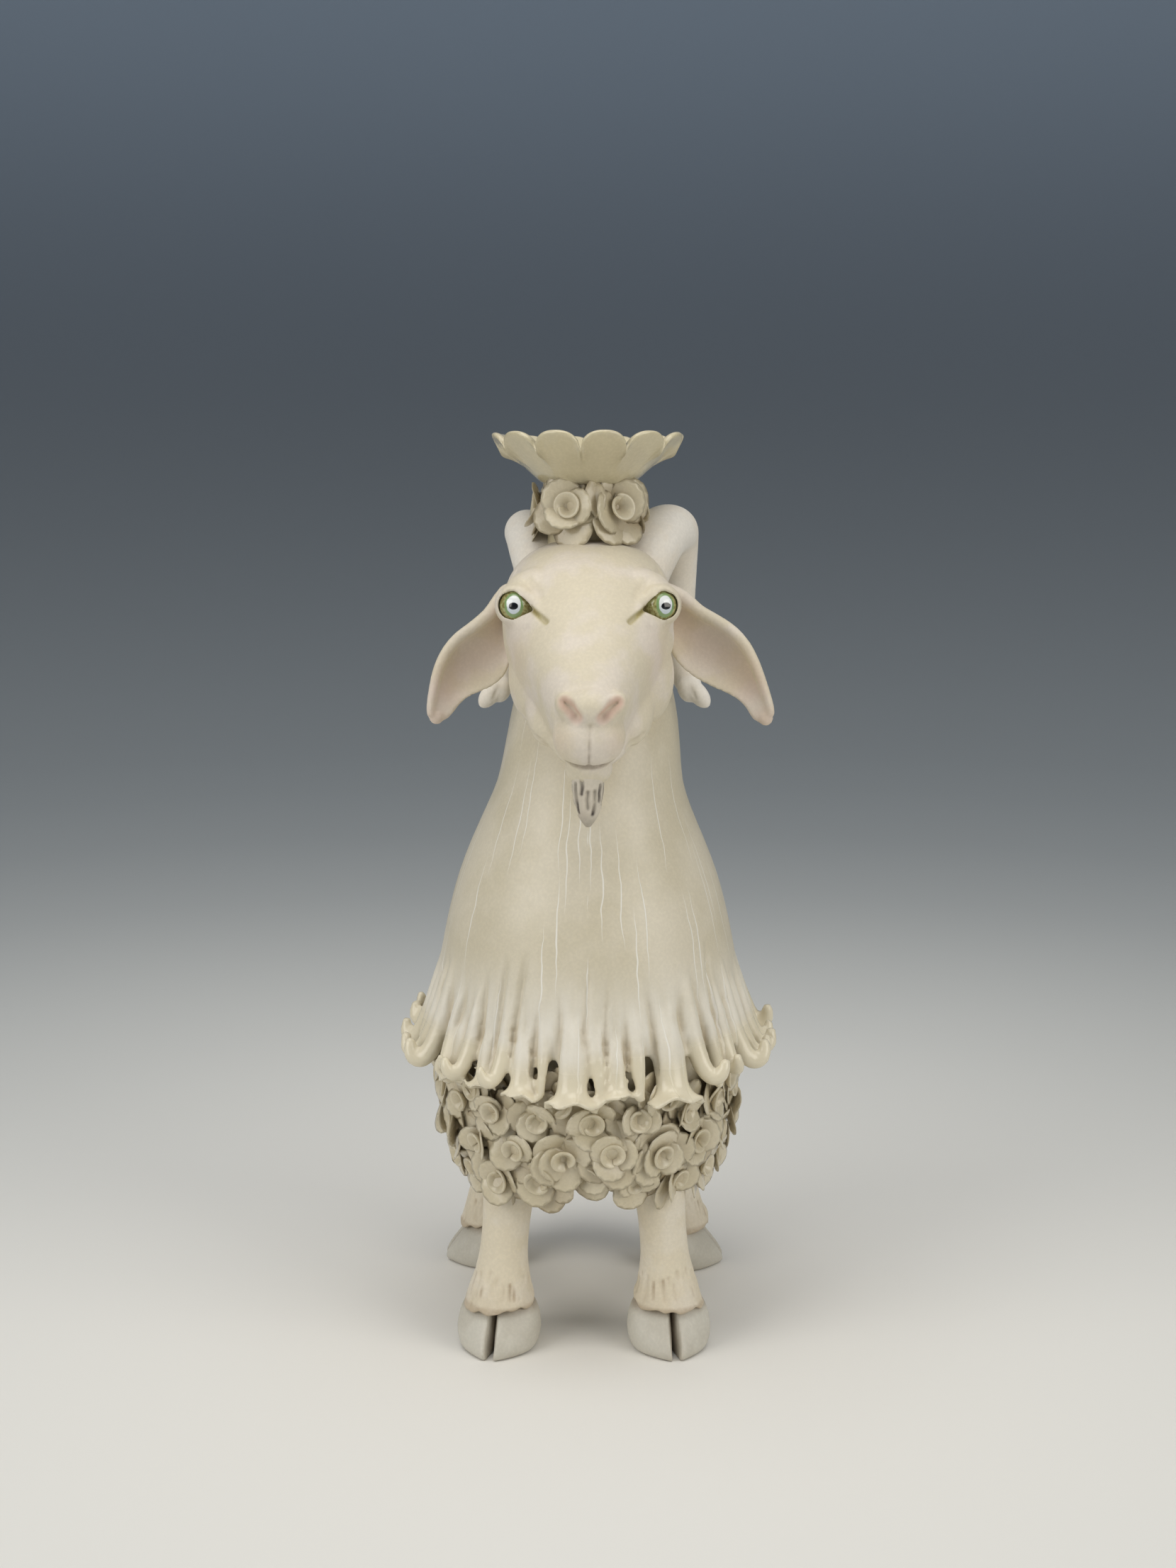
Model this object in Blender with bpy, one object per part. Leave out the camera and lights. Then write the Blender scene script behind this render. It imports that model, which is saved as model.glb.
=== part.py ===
"""Candle holder in the form of a standing goat, hand built from white clay.

The goat faces -Y, +X is its own left side and +Z is up. The origin is on the
surface that it stands on, under the middle of its bounding box. Every size
below is in millimetres, and MM turns it into Blender's metres.
"""

import math
from dataclasses import dataclass

import bmesh
import bpy
import numpy as np
from mathutils import Matrix, Vector
from mathutils.bvhtree import BVHTree

MM = 0.001
GAP = 0.3  # clearance left wherever two pieces meet

ORIGIN_SHIFT_Y = 3.5
HEIGHT = 329.5  # tips of the drip dish above the ground
TURN = 2 * math.pi
FRONT = -math.pi / 2  # the turn of an outline, seen from above, that faces ahead

MANTLE_WALL = 6.0
MANTLE_BACK_RISE = 16.0  # the skirt climbs this far over the goat's back
LOCK_COUNT = 24  # hair locks that the skirt ends in
BODY_WALL = 5.5
BODY_MIDDLE_Y = 6.0
BODY_SIDES = 28
HEAD_SIDES = 26
LEG_SIDES = 16

CROWN_Y = -7.0  # the candle stands above this point of the head
CANDLE_RADIUS = 11.2
CANDLE_SEAT_Z = 297.0
SOCKET_RADIUS = 14.6
SOCKET_TOP_Z = 316.0
DISH_RADIUS = 34.6
DISH_PETALS = 12
DISH_TURN = math.radians(10)  # a petal's middle is this far from straight ahead

CROWN_ROSE_RADIUS = 10.6
SPRAY_ROSE_RADIUS = 9.7
RUMP_ROSE_RADIUS = 9.4
RUMP_ROSE_COLUMNS = (8.6, 9.75, 12.25, 13.4)  # in steps of a spray, tail at 11
RUMP_ROSE_Z = 109.5
ROSE_HEIGHT = 8.2
ROSE_PETALS = 5
CROWN_ROSE_TURNS = (-25, 37, 97, 153, -149, -86)  # degrees from straight ahead
SPRAY_COUNT = 22  # sprays of three roses round the body
SPRAY_ROWS = (92.2, 79.0, 66.6)  # heights that the roses' feet are set at
SPRAY_TIGHTNESS = 0.8  # draws a spray's three roses together until they fuse
HORN_ROSE_REACH = 26.0  # a crown rose this near a horn's shoulder is given room in it
LEG_ROSE_REACH = 23.0  # so is a body rose this near a leg's hip
HIP_Z = 64.0

EYE_RADIUS = 6.4
EYE_CENTRE = (24.4, -41.0, 269.5)

# colour, roughness of each finish
FINISHES = {
    "bisque": ((0.83, 0.76, 0.66), 0.62),
    "cream_glaze": ((0.74, 0.66, 0.50), 0.22),
    "hoof_white": ((0.78, 0.77, 0.72), 0.5),
    "eye_glaze": ((0.45, 0.52, 0.33), 0.12),
    "beard_wash": ((0.42, 0.36, 0.27), 0.7),
}


def clear_scene():
    for obj in list(bpy.data.objects):
        bpy.data.objects.remove(obj)


def finish(name):
    """The Principled material of that finish, made once."""
    material = bpy.data.materials.get(name)
    if material is None:
        colour, roughness = FINISHES[name]
        material = bpy.data.materials.new(name)
        material.use_nodes = True
        shader = material.node_tree.nodes["Principled BSDF"]
        shader.inputs["Base Color"].default_value = (*colour, 1)
        shader.inputs["Roughness"].default_value = roughness
        shader.inputs["Metallic"].default_value = 0
    return material


@dataclass
class Outline:
    """A closed outline round a centre: a superellipse with its own reach on each side.

    across and up span its plane. A turn of 0 points along across, and a quarter turn
    along up.
    """

    centre: tuple
    half_width: float
    top: float
    bottom: float
    across: tuple = (1, 0, 0)
    up: tuple = (0, 0, 1)
    squareness: float = 2.0

    def point(self, turn):
        power = 2 / self.squareness
        c, s = math.cos(turn), math.sin(turn)
        reach = self.top if s > 0 else self.bottom
        x = self.half_width * math.copysign(abs(c) ** power, c)
        y = reach * math.copysign(abs(s) ** power, s)
        return Vector(self.centre) + x * Vector(self.across) + y * Vector(self.up)


def level(z, half_width, front, back, middle=0.0, squareness=2.0):
    """A horizontal outline at height z, reaching front and back from y = middle."""
    return Outline(
        (0, middle, z), half_width, back, front, up=(0, 1, 0), squareness=squareness
    )


def loft(outlines, segments, ends="capped"):
    """A bmesh through the outlines. Its ends are capped, open, or joined in a ring."""
    bm = bmesh.new()
    turns = bm.verts.layers.float.new("turn")
    for vert in bmesh.ops.create_circle(bm, segments=segments, radius=1)["verts"]:
        vert[turns] = math.atan2(vert.co.y, vert.co.x)
    first = edges = bm.edges[:]
    verts = bm.verts[:]
    for number, outline in enumerate(outlines):
        if number:
            made = bmesh.ops.extrude_edge_only(bm, edges=edges)["geom"]
            verts = [g for g in made if isinstance(g, bmesh.types.BMVert)]
            edges = [g for g in made if isinstance(g, bmesh.types.BMEdge) and g.is_boundary]
        for vert in verts:
            vert.co = outline.point(vert[turns]) * MM
    if ends == "ring":
        bmesh.ops.bridge_loops(bm, edges=first + edges)
    if ends == "capped":
        bmesh.ops.holes_fill(bm, edges=bm.edges)
    bmesh.ops.recalc_face_normals(bm, faces=bm.faces)
    return bm


def piece(name, bm, finish_name, sharp_degrees=40):
    """A named object of that bmesh and finish, with round faces shaded smooth."""
    mesh = bpy.data.meshes.new(name)
    bm.to_mesh(mesh)
    bm.free()
    mesh.shade_smooth()
    mesh.set_sharp_from_angle(angle=math.radians(sharp_degrees))
    mesh.materials.append(finish(finish_name))
    obj = bpy.data.objects.new(name, mesh)
    bpy.context.scene.collection.objects.link(obj)
    return obj


def cutter(name, bm):
    """A hidden copy of a shape, grown by the gap, that makes room for it elsewhere."""
    return hide_as_cutter(piece(name, bm, "bisque"))


def hide_as_cutter(obj):
    """Grows a helper shape by the gap and keeps it out of the finished part."""
    grow = obj.modifiers.new("grow", "DISPLACE")
    grow.mid_level = 0
    grow.strength = GAP * MM
    obj.hide_render = True
    obj.display_type = "WIRE"
    return obj


def cut(obj, tool):
    """Cuts one piece's room out of another."""
    modifier = obj.modifiers.new("cut by " + tool.name, "BOOLEAN")
    modifier.operation = "DIFFERENCE"
    modifier.object = tool
    return obj


def solidify(obj, wall):
    """Gives an open surface its wall, which grows inwards."""
    modifier = obj.modifiers.new("wall", "SOLIDIFY")
    modifier.thickness = wall * MM
    modifier.offset = -1
    return obj


# ---------------------------------------------------------------- body and mantle


def body_outlines():
    """The pot-shaped body from the vent in the belly to the opening under the mantle."""
    rows = (
        (57.0, 5, 5, 5),
        (57.8, 27, 41, 37),
        (61.5, 39.5, 55, 50),
        (68.5, 46.5, 63, 58.5),
        (79.0, 49.6, 66.3, 63.5),
        (96.0, 51.2, 67, 64),
        (111.0, 52.8, 66.5, 58),
        (119.5, 50.8, 63, 48),
        (126.0, 38, 46, 31),
    )
    return [level(*row, middle=BODY_MIDDLE_Y, squareness=2.25) for row in rows]


def make_body():
    shell = piece("body_shell", loft(body_outlines(), BODY_SIDES, "open"), "cream_glaze")
    return solidify(shell, BODY_WALL)


@dataclass
class SkirtOutline(Outline):
    """A level outline of the mantle that climbs at the back and swings out in locks."""

    rise: float = 0.0
    tilt: float = 0.0
    lock_swing: float = 0.0

    def point(self, turn):
        at = super().point(turn)
        back = max(0.0, math.sin(turn))
        at.z += self.rise * back * back * (3 - 2 * back) + self.tilt * math.sin(turn)
        out = self.lock_swing * (0.5 + 0.5 * math.cos(LOCK_COUNT * turn))
        outward = Vector((math.cos(turn), math.sin(turn), -0.25))
        return at + outward * out


def mantle_outlines():
    """Outer face from the neck down to the skirt's tips, then the inner face back up."""
    rows = (  # height, half width, front, back, rise at the back, tilt, swing
        (240.0, 27.5, 27, 26, 0, 6, 0),
        (226.0, 30.2, 34, 29, 0, 4, 0),
        (203.0, 33.6, 41, 34, 0, 0, 0),
        (181.0, 43.3, 48, 40, 0, 0, 0),
        (157.0, 51.5, 55.5, 47, 4, 0, 0),
        (132.0, 56.7, 60.5, 54, 10, 0, 0),
        (115.0, 59.6, 63.5, 57, MANTLE_BACK_RISE, 0, 0),
        (105.6, 62.4, 66, 59, MANTLE_BACK_RISE, 0, 2.5),
        (102.6, 65.0, 68, 60, MANTLE_BACK_RISE, 0, 5.0),
    )
    outer = [
        SkirtOutline((0, -4, z), w, b, f, up=(0, 1, 0), rise=rise, tilt=tilt, lock_swing=swing)
        for z, w, f, b, rise, tilt, swing in rows
    ]
    inner = [
        SkirtOutline(
            (0, -4, z), w - wall, b - wall, f - wall, up=(0, 1, 0), rise=rise, tilt=tilt
        )
        for (z, w, f, b, rise, tilt, _), wall in (
            (rows[7], 5.0),
            (rows[6], 7.4),
            (rows[5], 8.5),
            (rows[3], MANTLE_WALL),
            (rows[2], MANTLE_WALL),
            (rows[0], MANTLE_WALL - 1),
        )
    ]
    return outer + inner


def make_mantle(core_cutter, head_cutter):
    mantle = piece("mantle", loft(mantle_outlines(), 2 * LOCK_COUNT, "ring"), "bisque")
    cut(mantle, core_cutter)
    return cut(mantle, head_cutter)


def make_tail(core_cutter):
    """A short tail that stands up from the rump."""
    tail = piece(
        "tail",
        loft(
            [
                Outline((0, 56, 104), 6.0, 5, 5, up=(0, -0.6, 0.8)),
                Outline((0, 65, 109), 5.6, 4.5, 4.5, up=(0, -0.6, 0.8)),
                Outline((0, 71.5, 116), 5.0, 3.6, 3.6, up=(0, -0.9, 0.43)),
                Outline((0, 75, 124), 4.0, 2.9, 2.9, up=(0, -1, 0.1)),
                Outline((0, 75.5, 130), 2.2, 1.7, 1.7, up=(0, -1, 0)),
                Outline((0, 75.2, 132), 0.8, 0.6, 0.6, up=(0, -1, 0)),
            ],
            12,
        ),
        "bisque",
    )
    return cut(tail, core_cutter)


# ------------------------------------------------------------------------- head


def head_outlines():
    """Stations from the nape to the lips, each square to a spine that bends down."""
    stations = (  # y, z, slope in degrees, half width, top, bottom, squareness
        (20, 262, -8, 14, 12, 14, 2.0),
        (14, 264, -6, 23, 19, 27, 2.1),
        (4, 266.5, -3, 28, 23.5, 36, 2.3),
        (-8, 267, 2, 30.2, 24.6, 39, 2.4),
        (-20, 265.5, 9, 31, 25.5, 38.5, 2.4),
        (-32, 261, 20, 30.8, 24.5, 36, 2.2),
        (-45, 254, 30, 27.4, 20.5, 31, 2.05),
        (-57, 245.5, 36, 21.6, 17, 26, 2.05),
        (-67, 237.5, 39, 16.5, 14.3, 23, 2.2),
        (-74, 231.5, 40, 13.6, 13, 20.5, 2.4),
        (-79.5, 227, 41, 11.8, 9.6, 15.5, 2.4),
        (-83, 224.3, 42, 7, 5, 9, 2.2),
    )
    outlines = []
    for y, z, slope, half_width, top, bottom, squareness in stations:
        angle = math.radians(slope)
        up = (0, -math.sin(angle), math.cos(angle))
        outlines.append(
            Outline((0, y, z), half_width, top, bottom, up=up, squareness=squareness)
        )
    return outlines


def make_head(eye_cutters):
    head = piece("head", loft(head_outlines(), HEAD_SIDES), "bisque")
    for tool in eye_cutters:
        cut(head, tool)
    return head


def eye_bmesh(side):
    bm = bmesh.new()
    place = Matrix.Translation(Vector((side * EYE_CENTRE[0], *EYE_CENTRE[1:])) * MM)
    bmesh.ops.create_uvsphere(
        bm, u_segments=14, v_segments=8, radius=EYE_RADIUS * MM, matrix=place
    )
    return bm


def ear_outlines(side, spread):
    """A hanging ear: flat leaf-shaped stations whose faces are dished towards the front."""
    stations = (  # x, y, z, half width, droop of the leaf's own plane in degrees
        (24, -15, 269.5, 5.5, 14),
        (31, -18, 267.0, 7.4, 24),
        (38, -21, 262.0, 8.8, 36),
        (45, -24, 254.5, 9.8, 44),
        (51.5, -26, 247.0, 9.4, 48),
        (57, -26.5, 239.5, 7.3, 54),
        (60.5, -26, 233.0, 4.6, 62),
        (62, -25.5, 228.5, 2.0, 66),
    )
    outlines = []
    for x, y, z, half_width, droop in stations:
        angle = math.radians(droop)
        across = (side * math.sin(angle), 0.12, math.cos(angle))
        outlines.append(
            Outline(
                (side * x * spread, y, z),
                half_width,
                1.5,
                1.5,
                across=across,
                up=(-side * 0.35, -0.93, 0.1),
                squareness=2.6,
            )
        )
    return outlines


def make_ear(name, side, spread, head_cutter):
    ear = piece(name, loft(ear_outlines(side, spread), 12), "bisque")
    return cut(ear, head_cutter)


def horn_outlines(stations):
    """Round stations along a horn's curve, each square to the curve there."""
    points = [Vector(s[:3]) for s in stations]
    outlines = []
    for number, (at, station) in enumerate(zip(points, stations)):
        before, after = points[max(number - 1, 0)], points[min(number + 1, len(points) - 1)]
        along = (after - before).normalized()
        across = (Vector((1, 0, 0)) - along * along.x).normalized()
        radius = station[3]
        outlines.append(
            Outline(at, radius, radius, radius, across=across, up=along.cross(across))
        )
    return outlines


LEFT_HORN = (  # x, y, z, radius
    (18, -3, 274, 9.4),
    (25, 1, 286, 9.2),
    (30.5, 7, 294, 8.6),
    (33.2, 16, 296.2, 8.0),
    (33.6, 26, 291, 7.5),
    (33.5, 33, 279, 7.0),
    (33, 34.8, 265, 6.4),
    (33.5, 31.5, 251.5, 5.8),
    (35.5, 25, 241, 5.0),
    (38, 18, 234.5, 4.0),
    (39.5, 14.5, 232.5, 2.0),
)
RIGHT_HORN = (
    (-15, -2, 274, 9.0),
    (-20.5, 3, 285, 8.8),
    (-24.5, 9.5, 292, 8.2),
    (-26, 18, 293.8, 7.8),
    (-27, 27, 288.5, 7.3),
    (-28, 33, 277, 6.8),
    (-29.5, 34.5, 264, 6.2),
    (-31, 31.5, 251.5, 5.6),
    (-32.5, 25, 242, 4.8),
    (-34, 18, 235.5, 3.9),
    (-35, 14.5, 233.5, 2.0),
)


def make_horn(name, stations, head_cutter, roses):
    horn = piece(name, loft(horn_outlines(stations), 12), "bisque")
    make_room(horn, roses, stations[2][:3], HORN_ROSE_REACH)
    return cut(horn, head_cutter)


def make_beard(head_cutter):
    """The tuft under the chin."""
    beard = piece(
        "beard",
        loft(
            [
                level(216.0, 5.0, 3.6, 3.6, middle=-71),
                level(210.5, 5.4, 4.2, 3.8, middle=-71.2),
                level(205.0, 5.0, 4.0, 3.6, middle=-71.2),
                level(200.5, 3.7, 3.2, 2.8, middle=-70.8),
                level(197.6, 1.8, 1.6, 1.4, middle=-70.4),
            ],
            12,
        ),
        "beard_wash",
    )
    return cut(beard, head_cutter)


# ------------------------------------------------------------------------- legs


@dataclass
class Foot:
    """One foot: where it stands, which way its toes point, and its leg's hip."""

    name: str
    x: float
    y: float
    heading: float  # degrees, 0 straight ahead and 90 to the goat's left
    hip_x: float
    hip_y: float

    @property
    def ahead(self):
        angle = math.radians(self.heading)
        return Vector((math.sin(angle), -math.cos(angle), 0))

    @property
    def aside(self):
        return Vector((-self.ahead.y, self.ahead.x, 0))


FEET = (
    Foot("front_left", 29.6, -42.0, 0, 24.6, -38),
    Foot("front_right", -32.6, -42.0, 0, -27.2, -38),
    Foot("rear_left", 38.0, 39.5, 88, 30.0, 36),
    Foot("rear_right", -41.0, 42.5, -88, -33.0, 40),
)
CUFF_Z = 17.6


def leg_outlines(foot):
    """From the fur cuff over the toes up to the hip, which the body's underside trims."""
    rows = (  # height, half width, reach ahead, reach behind
        (CUFF_Z, 12.6, 11.6, 12.0),
        (20.5, 12.0, 11.0, 11.6),
        (27.0, 10.2, 9.8, 10.4),
        (35.0, 8.7, 8.9, 9.4),
        (46.0, 8.5, 8.8, 9.4),
        (57.0, 9.2, 9.6, 10.4),
        (72.0, 11.0, 11.5, 12.0),
    )
    outlines = []
    for z, half_width, ahead, behind in rows:
        share = (z - CUFF_Z) / (rows[-1][0] - CUFF_Z)
        at = Vector((foot.x, foot.y, z)) - foot.ahead * 1.5
        at += (Vector((foot.hip_x, foot.hip_y, z)) - at) * share
        outlines.append(
            Outline(at, half_width, ahead, behind, across=foot.aside, up=foot.ahead)
        )
    return outlines


def make_leg(foot, core_cutter, roses):
    """A leg, trimmed by the body's underside and by the roses that hang over its top."""
    leg = piece(foot.name + "_leg", loft(leg_outlines(foot), LEG_SIDES), "bisque")
    make_room(leg, roses, (foot.hip_x, foot.hip_y, HIP_Z), LEG_ROSE_REACH)
    return cut(leg, core_cutter)


@dataclass
class ToeOutline(Outline):
    """A hoof half's outline, which narrows towards its tip."""

    def point(self, turn):
        ahead = math.sin(turn)
        narrowed = Outline(
            self.centre,
            self.half_width * (1 - 0.3 * max(0, ahead) ** 2),
            self.top,
            self.bottom,
            self.across,
            self.up,
            self.squareness,
        )
        return narrowed.point(turn)


def make_toe(foot, side, leg_cutter):
    """One half of a cloven hoof. Its sole is flat, and its wall leans back to the cuff."""
    rows = (  # height, half width, reach ahead, reach behind, set back, set aside
        (0.0, 6.6, 15.2, 12.5, 0.0, 7.0),
        (2.2, 7.0, 15.6, 13.0, 0.0, 7.4),
        (7.5, 7.0, 13.2, 12.6, 0.4, 7.4),
        (13.0, 6.6, 10.4, 11.6, 0.8, 7.0),
        (18.0, 5.8, 8.0, 9.5, 1.2, 6.3),
        (21.0, 4.2, 5.5, 6.5, 1.4, 5.2),
    )
    outlines = []
    for z, half_width, ahead, behind, back, aside in rows:
        at = Vector((foot.x, foot.y, z)) - foot.ahead * back + foot.aside * side * aside
        outlines.append(
            ToeOutline(
                at, half_width, ahead, behind, across=foot.aside, up=foot.ahead, squareness=2.3
            )
        )
    side_name = "_inner_toe" if side * foot.aside.x * foot.x < 0 else "_outer_toe"
    if abs(foot.aside.x) < 0.5:
        side_name = "_front_toe" if side * foot.aside.y < 0 else "_back_toe"
    toe = piece(foot.name + side_name, loft(outlines, 14), "hoof_white", 50)
    return cut(toe, leg_cutter)


# --------------------------------------------------------- candle socket and dish


def make_socket(head_cutter):
    """The cup for the candle: a plain tube with a floor, fixed on the crown."""
    tube = [
        level(CANDLE_SEAT_Z - 14, SOCKET_RADIUS, SOCKET_RADIUS, SOCKET_RADIUS, CROWN_Y),
        level(SOCKET_TOP_Z, SOCKET_RADIUS, SOCKET_RADIUS, SOCKET_RADIUS, CROWN_Y),
    ]
    inner = CANDLE_RADIUS
    bore = [
        level(SOCKET_TOP_Z, inner, inner, inner, CROWN_Y),
        level(CANDLE_SEAT_Z, inner, inner, inner, CROWN_Y),
    ]
    socket = piece("candle_socket", loft(tube + bore, 32), "cream_glaze")
    return cut(socket, head_cutter)


@dataclass
class DishOutline(Outline):
    """A round outline of the drip dish, scalloped into petals."""

    scallop: float = 0.0
    lift: float = 0.0

    def point(self, turn):
        notch = 1 - abs(math.cos(DISH_PETALS * (turn - FRONT) / 2)) ** 0.7
        turn += DISH_TURN
        outward = Vector((math.cos(turn), math.sin(turn), 0))
        return super().point(turn) - outward * self.scallop * notch - Vector(
            (0, 0, self.lift * notch)
        )


def make_dish():
    """The scalloped drip dish round the socket: under side out to the rim, then back in."""
    rows = (  # height, radius, scallop, lift
        (310.6, SOCKET_RADIUS + GAP, 0, 0),
        (310.6, 18.5, 0, 0),
        (315.6, 26.3, 0, 0),
        (321.8, 31.4, 1.0, 1.0),
        (HEIGHT - 1.4, DISH_RADIUS, 3.2, 6.0),
        (HEIGHT, DISH_RADIUS - 1.5, 3.2, 6.0),
        (321.6, 27.8, 1.0, 1.0),
        (315.6, 20.5, 0, 0),
        (314.6, SOCKET_RADIUS + GAP, 0, 0),
    )
    outlines = [
        DishOutline((0, CROWN_Y, z), r, r, r, up=(0, 1, 0), scallop=scallop, lift=lift)
        for z, r, scallop, lift in rows
    ]
    return piece("drip_dish", loft(outlines, 4 * DISH_PETALS, "ring"), "cream_glaze")


# ------------------------------------------------------------------------ roses


@dataclass
class PetalOutline(Outline):
    """A round outline that swells and lifts once for each petal."""

    swell: float = 0.0

    def point(self, turn):
        wave = math.cos(ROSE_PETALS * turn)
        at = super().point(turn)
        return Vector((at.x * (1 + self.swell * wave), at.y * (1 + self.swell * wave), at.z))


def rose_mesh(radius):
    """A rose that opens along +Z from a small flat foot, as one closed shape."""
    rows = (  # share of the height, share of the radius, swell
        (0.0, 0.42, 0),
        (0.78, 0.94, 0.06),
        (0.5, 0.5, 0.05),
        (1.0, 0.18, 0),
    )
    outlines = [
        PetalOutline((0, 0, h * ROSE_HEIGHT), r, r, r, up=(0, 1, 0), swell=swell)
        for h, r, swell in ((h, r * radius, swell) for h, r, swell in rows)
    ]
    shape = piece("rose shape", loft(outlines, 2 * ROSE_PETALS), "cream_glaze")
    mesh = shape.data
    bpy.data.objects.remove(shape)
    return mesh


def place_rose(name, mesh, foot, outward, spin=0.0):
    """Sets a rose's foot at a point, opening along outward. Both are in millimetres."""
    rose = bpy.data.objects.new(name, mesh)
    bpy.context.scene.collection.objects.link(rose)
    turn = Vector(outward).to_track_quat("Z", "Y").to_matrix().to_4x4()
    rose.matrix_world = (
        Matrix.Translation(Vector(foot) * MM) @ turn @ Matrix.Rotation(spin, 4, "Z")
    )
    return rose


def make_room(obj, roses, near, reach):
    """Cuts from a piece the room for each rose whose foot is within reach of a point."""
    for rose in roses:
        if (rose.location / MM - Vector(near)).length < reach:
            room = bpy.data.objects.new("rose_room", rose.data)
            bpy.context.scene.collection.objects.link(room)
            room.matrix_world = rose.matrix_world
            hide_as_cutter(room)
            cut(obj, room)


def make_crown_roses():
    """The wreath round the socket, below the drip dish. It leans on both horns."""
    mesh = rose_mesh(CROWN_ROSE_RADIUS)
    roses = []
    for number, degrees in enumerate(CROWN_ROSE_TURNS, 1):
        turn = FRONT + math.radians(degrees)
        outward = Vector((math.cos(turn), math.sin(turn), 0.12))
        reach = SOCKET_RADIUS + 2 * GAP
        foot = (reach * math.cos(turn), CROWN_Y + reach * math.sin(turn), 301.2)
        roses.append(place_rose(f"crown_rose_{number}", mesh, foot, outward, number))
    return roses


def along_body(shares):
    """Headings from the body's middle at those shares of the way round it, from its front."""
    outline = body_outlines()[4]
    points = np.array([outline.point(turn) for turn in np.linspace(FRONT, FRONT + TURN, 721)])
    lengths = np.concatenate([[0], np.cumsum(np.linalg.norm(np.diff(points, axis=0), axis=1))])
    headings = np.unwrap(np.arctan2(points[:, 1] - BODY_MIDDLE_Y, points[:, 0]))
    return np.interp(shares % 1 * lengths[-1], lengths, headings)


def spray_places(number):
    """(column, height) of a spray's roses: two above one, or two below one, by turns."""
    top, middle, low = SPRAY_ROWS
    if number % 2 == 0:
        places = [(number, top), (number + 1, top), (number + 0.5, middle)]
    else:
        places = [(number, low), (number + 1, low), (number + 0.5, middle)]
    places = np.array(places)
    return places.mean(axis=0) + (places - places.mean(axis=0)) * SPRAY_TIGHTNESS


def stand_on_body(name, mesh, surface, column, height, spin):
    """Sets a rose square to the body's surface, that many steps round it."""
    turn = along_body(column / SPRAY_COUNT)
    inwards = Vector((-math.cos(turn), -math.sin(turn), 0))
    start = Vector((0, BODY_MIDDLE_Y, height)) * MM - inwards * 0.2
    at, normal, _, _ = surface.ray_cast(start, inwards)
    return place_rose(name, mesh, at / MM + normal * 2 * GAP, normal, spin)


def make_rump_roses(surface):
    """A row on both sides of the tail, where the mantle leaves the body bare."""
    mesh = rose_mesh(RUMP_ROSE_RADIUS)
    for number, column in enumerate(RUMP_ROSE_COLUMNS, 1):
        stand_on_body(f"rump_rose_{number}", mesh, surface, column, RUMP_ROSE_Z, number)


def make_sprays(surface):
    """Roses that cover the body, each square to the surface under it, fused in threes."""
    mesh = rose_mesh(SPRAY_ROSE_RADIUS)
    every_rose = []
    for number in range(SPRAY_COUNT):
        roses = []
        for column, height in spray_places(number):
            name = f"rose_spray_{number + 1:02}" if not roses else "spray rose"
            spin = 1.3 * number + len(roses)
            roses.append(stand_on_body(name, mesh, surface, column, height, spin))
        for helper in roses[1:]:
            helper.hide_render = True
            helper.display_type = "WIRE"
            join = roses[0].modifiers.new("rose", "BOOLEAN")
            join.operation = "UNION"
            join.object = helper
        every_rose += roses
    return every_rose


def centre_over_origin():
    """Moves every shape along Y, so that the origin is under the bounding box's middle."""
    for obj in bpy.data.objects:
        obj.location.y += ORIGIN_SHIFT_Y * MM


def main():
    clear_scene()
    core = loft(body_outlines(), BODY_SIDES)
    core_cutter = cutter("body_room", loft(body_outlines(), BODY_SIDES))
    head_cutter = cutter("head_room", loft(head_outlines(), HEAD_SIDES))
    eye_cutters = [cutter(f"eye_room_{side}", eye_bmesh(side)) for side in (1, -1)]

    make_body()
    make_mantle(core_cutter, head_cutter)
    make_tail(core_cutter)
    make_head(eye_cutters)
    for name, side in (("left_eye", 1), ("right_eye", -1)):
        piece(name, eye_bmesh(side), "eye_glaze")
    make_ear("left_ear", 1, 1.0, head_cutter)
    make_ear("right_ear", -1, 0.88, head_cutter)
    wreath = make_crown_roses()
    make_horn("left_horn", LEFT_HORN, head_cutter, wreath)
    make_horn("right_horn", RIGHT_HORN, head_cutter, wreath)
    make_beard(head_cutter)
    make_socket(head_cutter)
    make_dish()
    surface = BVHTree.FromBMesh(core)
    core.free()
    body_roses = make_sprays(surface)
    make_rump_roses(surface)
    for foot in FEET:
        make_leg(foot, core_cutter, body_roses)
        leg_cutter = cutter(foot.name + "_leg_room", loft(leg_outlines(foot), LEG_SIDES))
        for side in (1, -1):
            make_toe(foot, side, leg_cutter)
    centre_over_origin()


main()
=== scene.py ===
"""Looks of the goat candle holder: clay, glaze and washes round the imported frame.

Every length below is in millimetres and in the frame's own axes: the goat faces -Y,
+X is its own left side and +Z is up. Pieces are turned into metres when finished.
Scales of textures are per metre, as the shaders see the finished pieces.
"""

import logging
import math
import random
from collections.abc import Callable, Iterable, Sequence
from dataclasses import dataclass, field
from enum import Enum

import bmesh
import bpy
import numpy as np
from mathutils import Euler, Matrix, Vector
from mathutils.bvhtree import BVHTree


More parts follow.
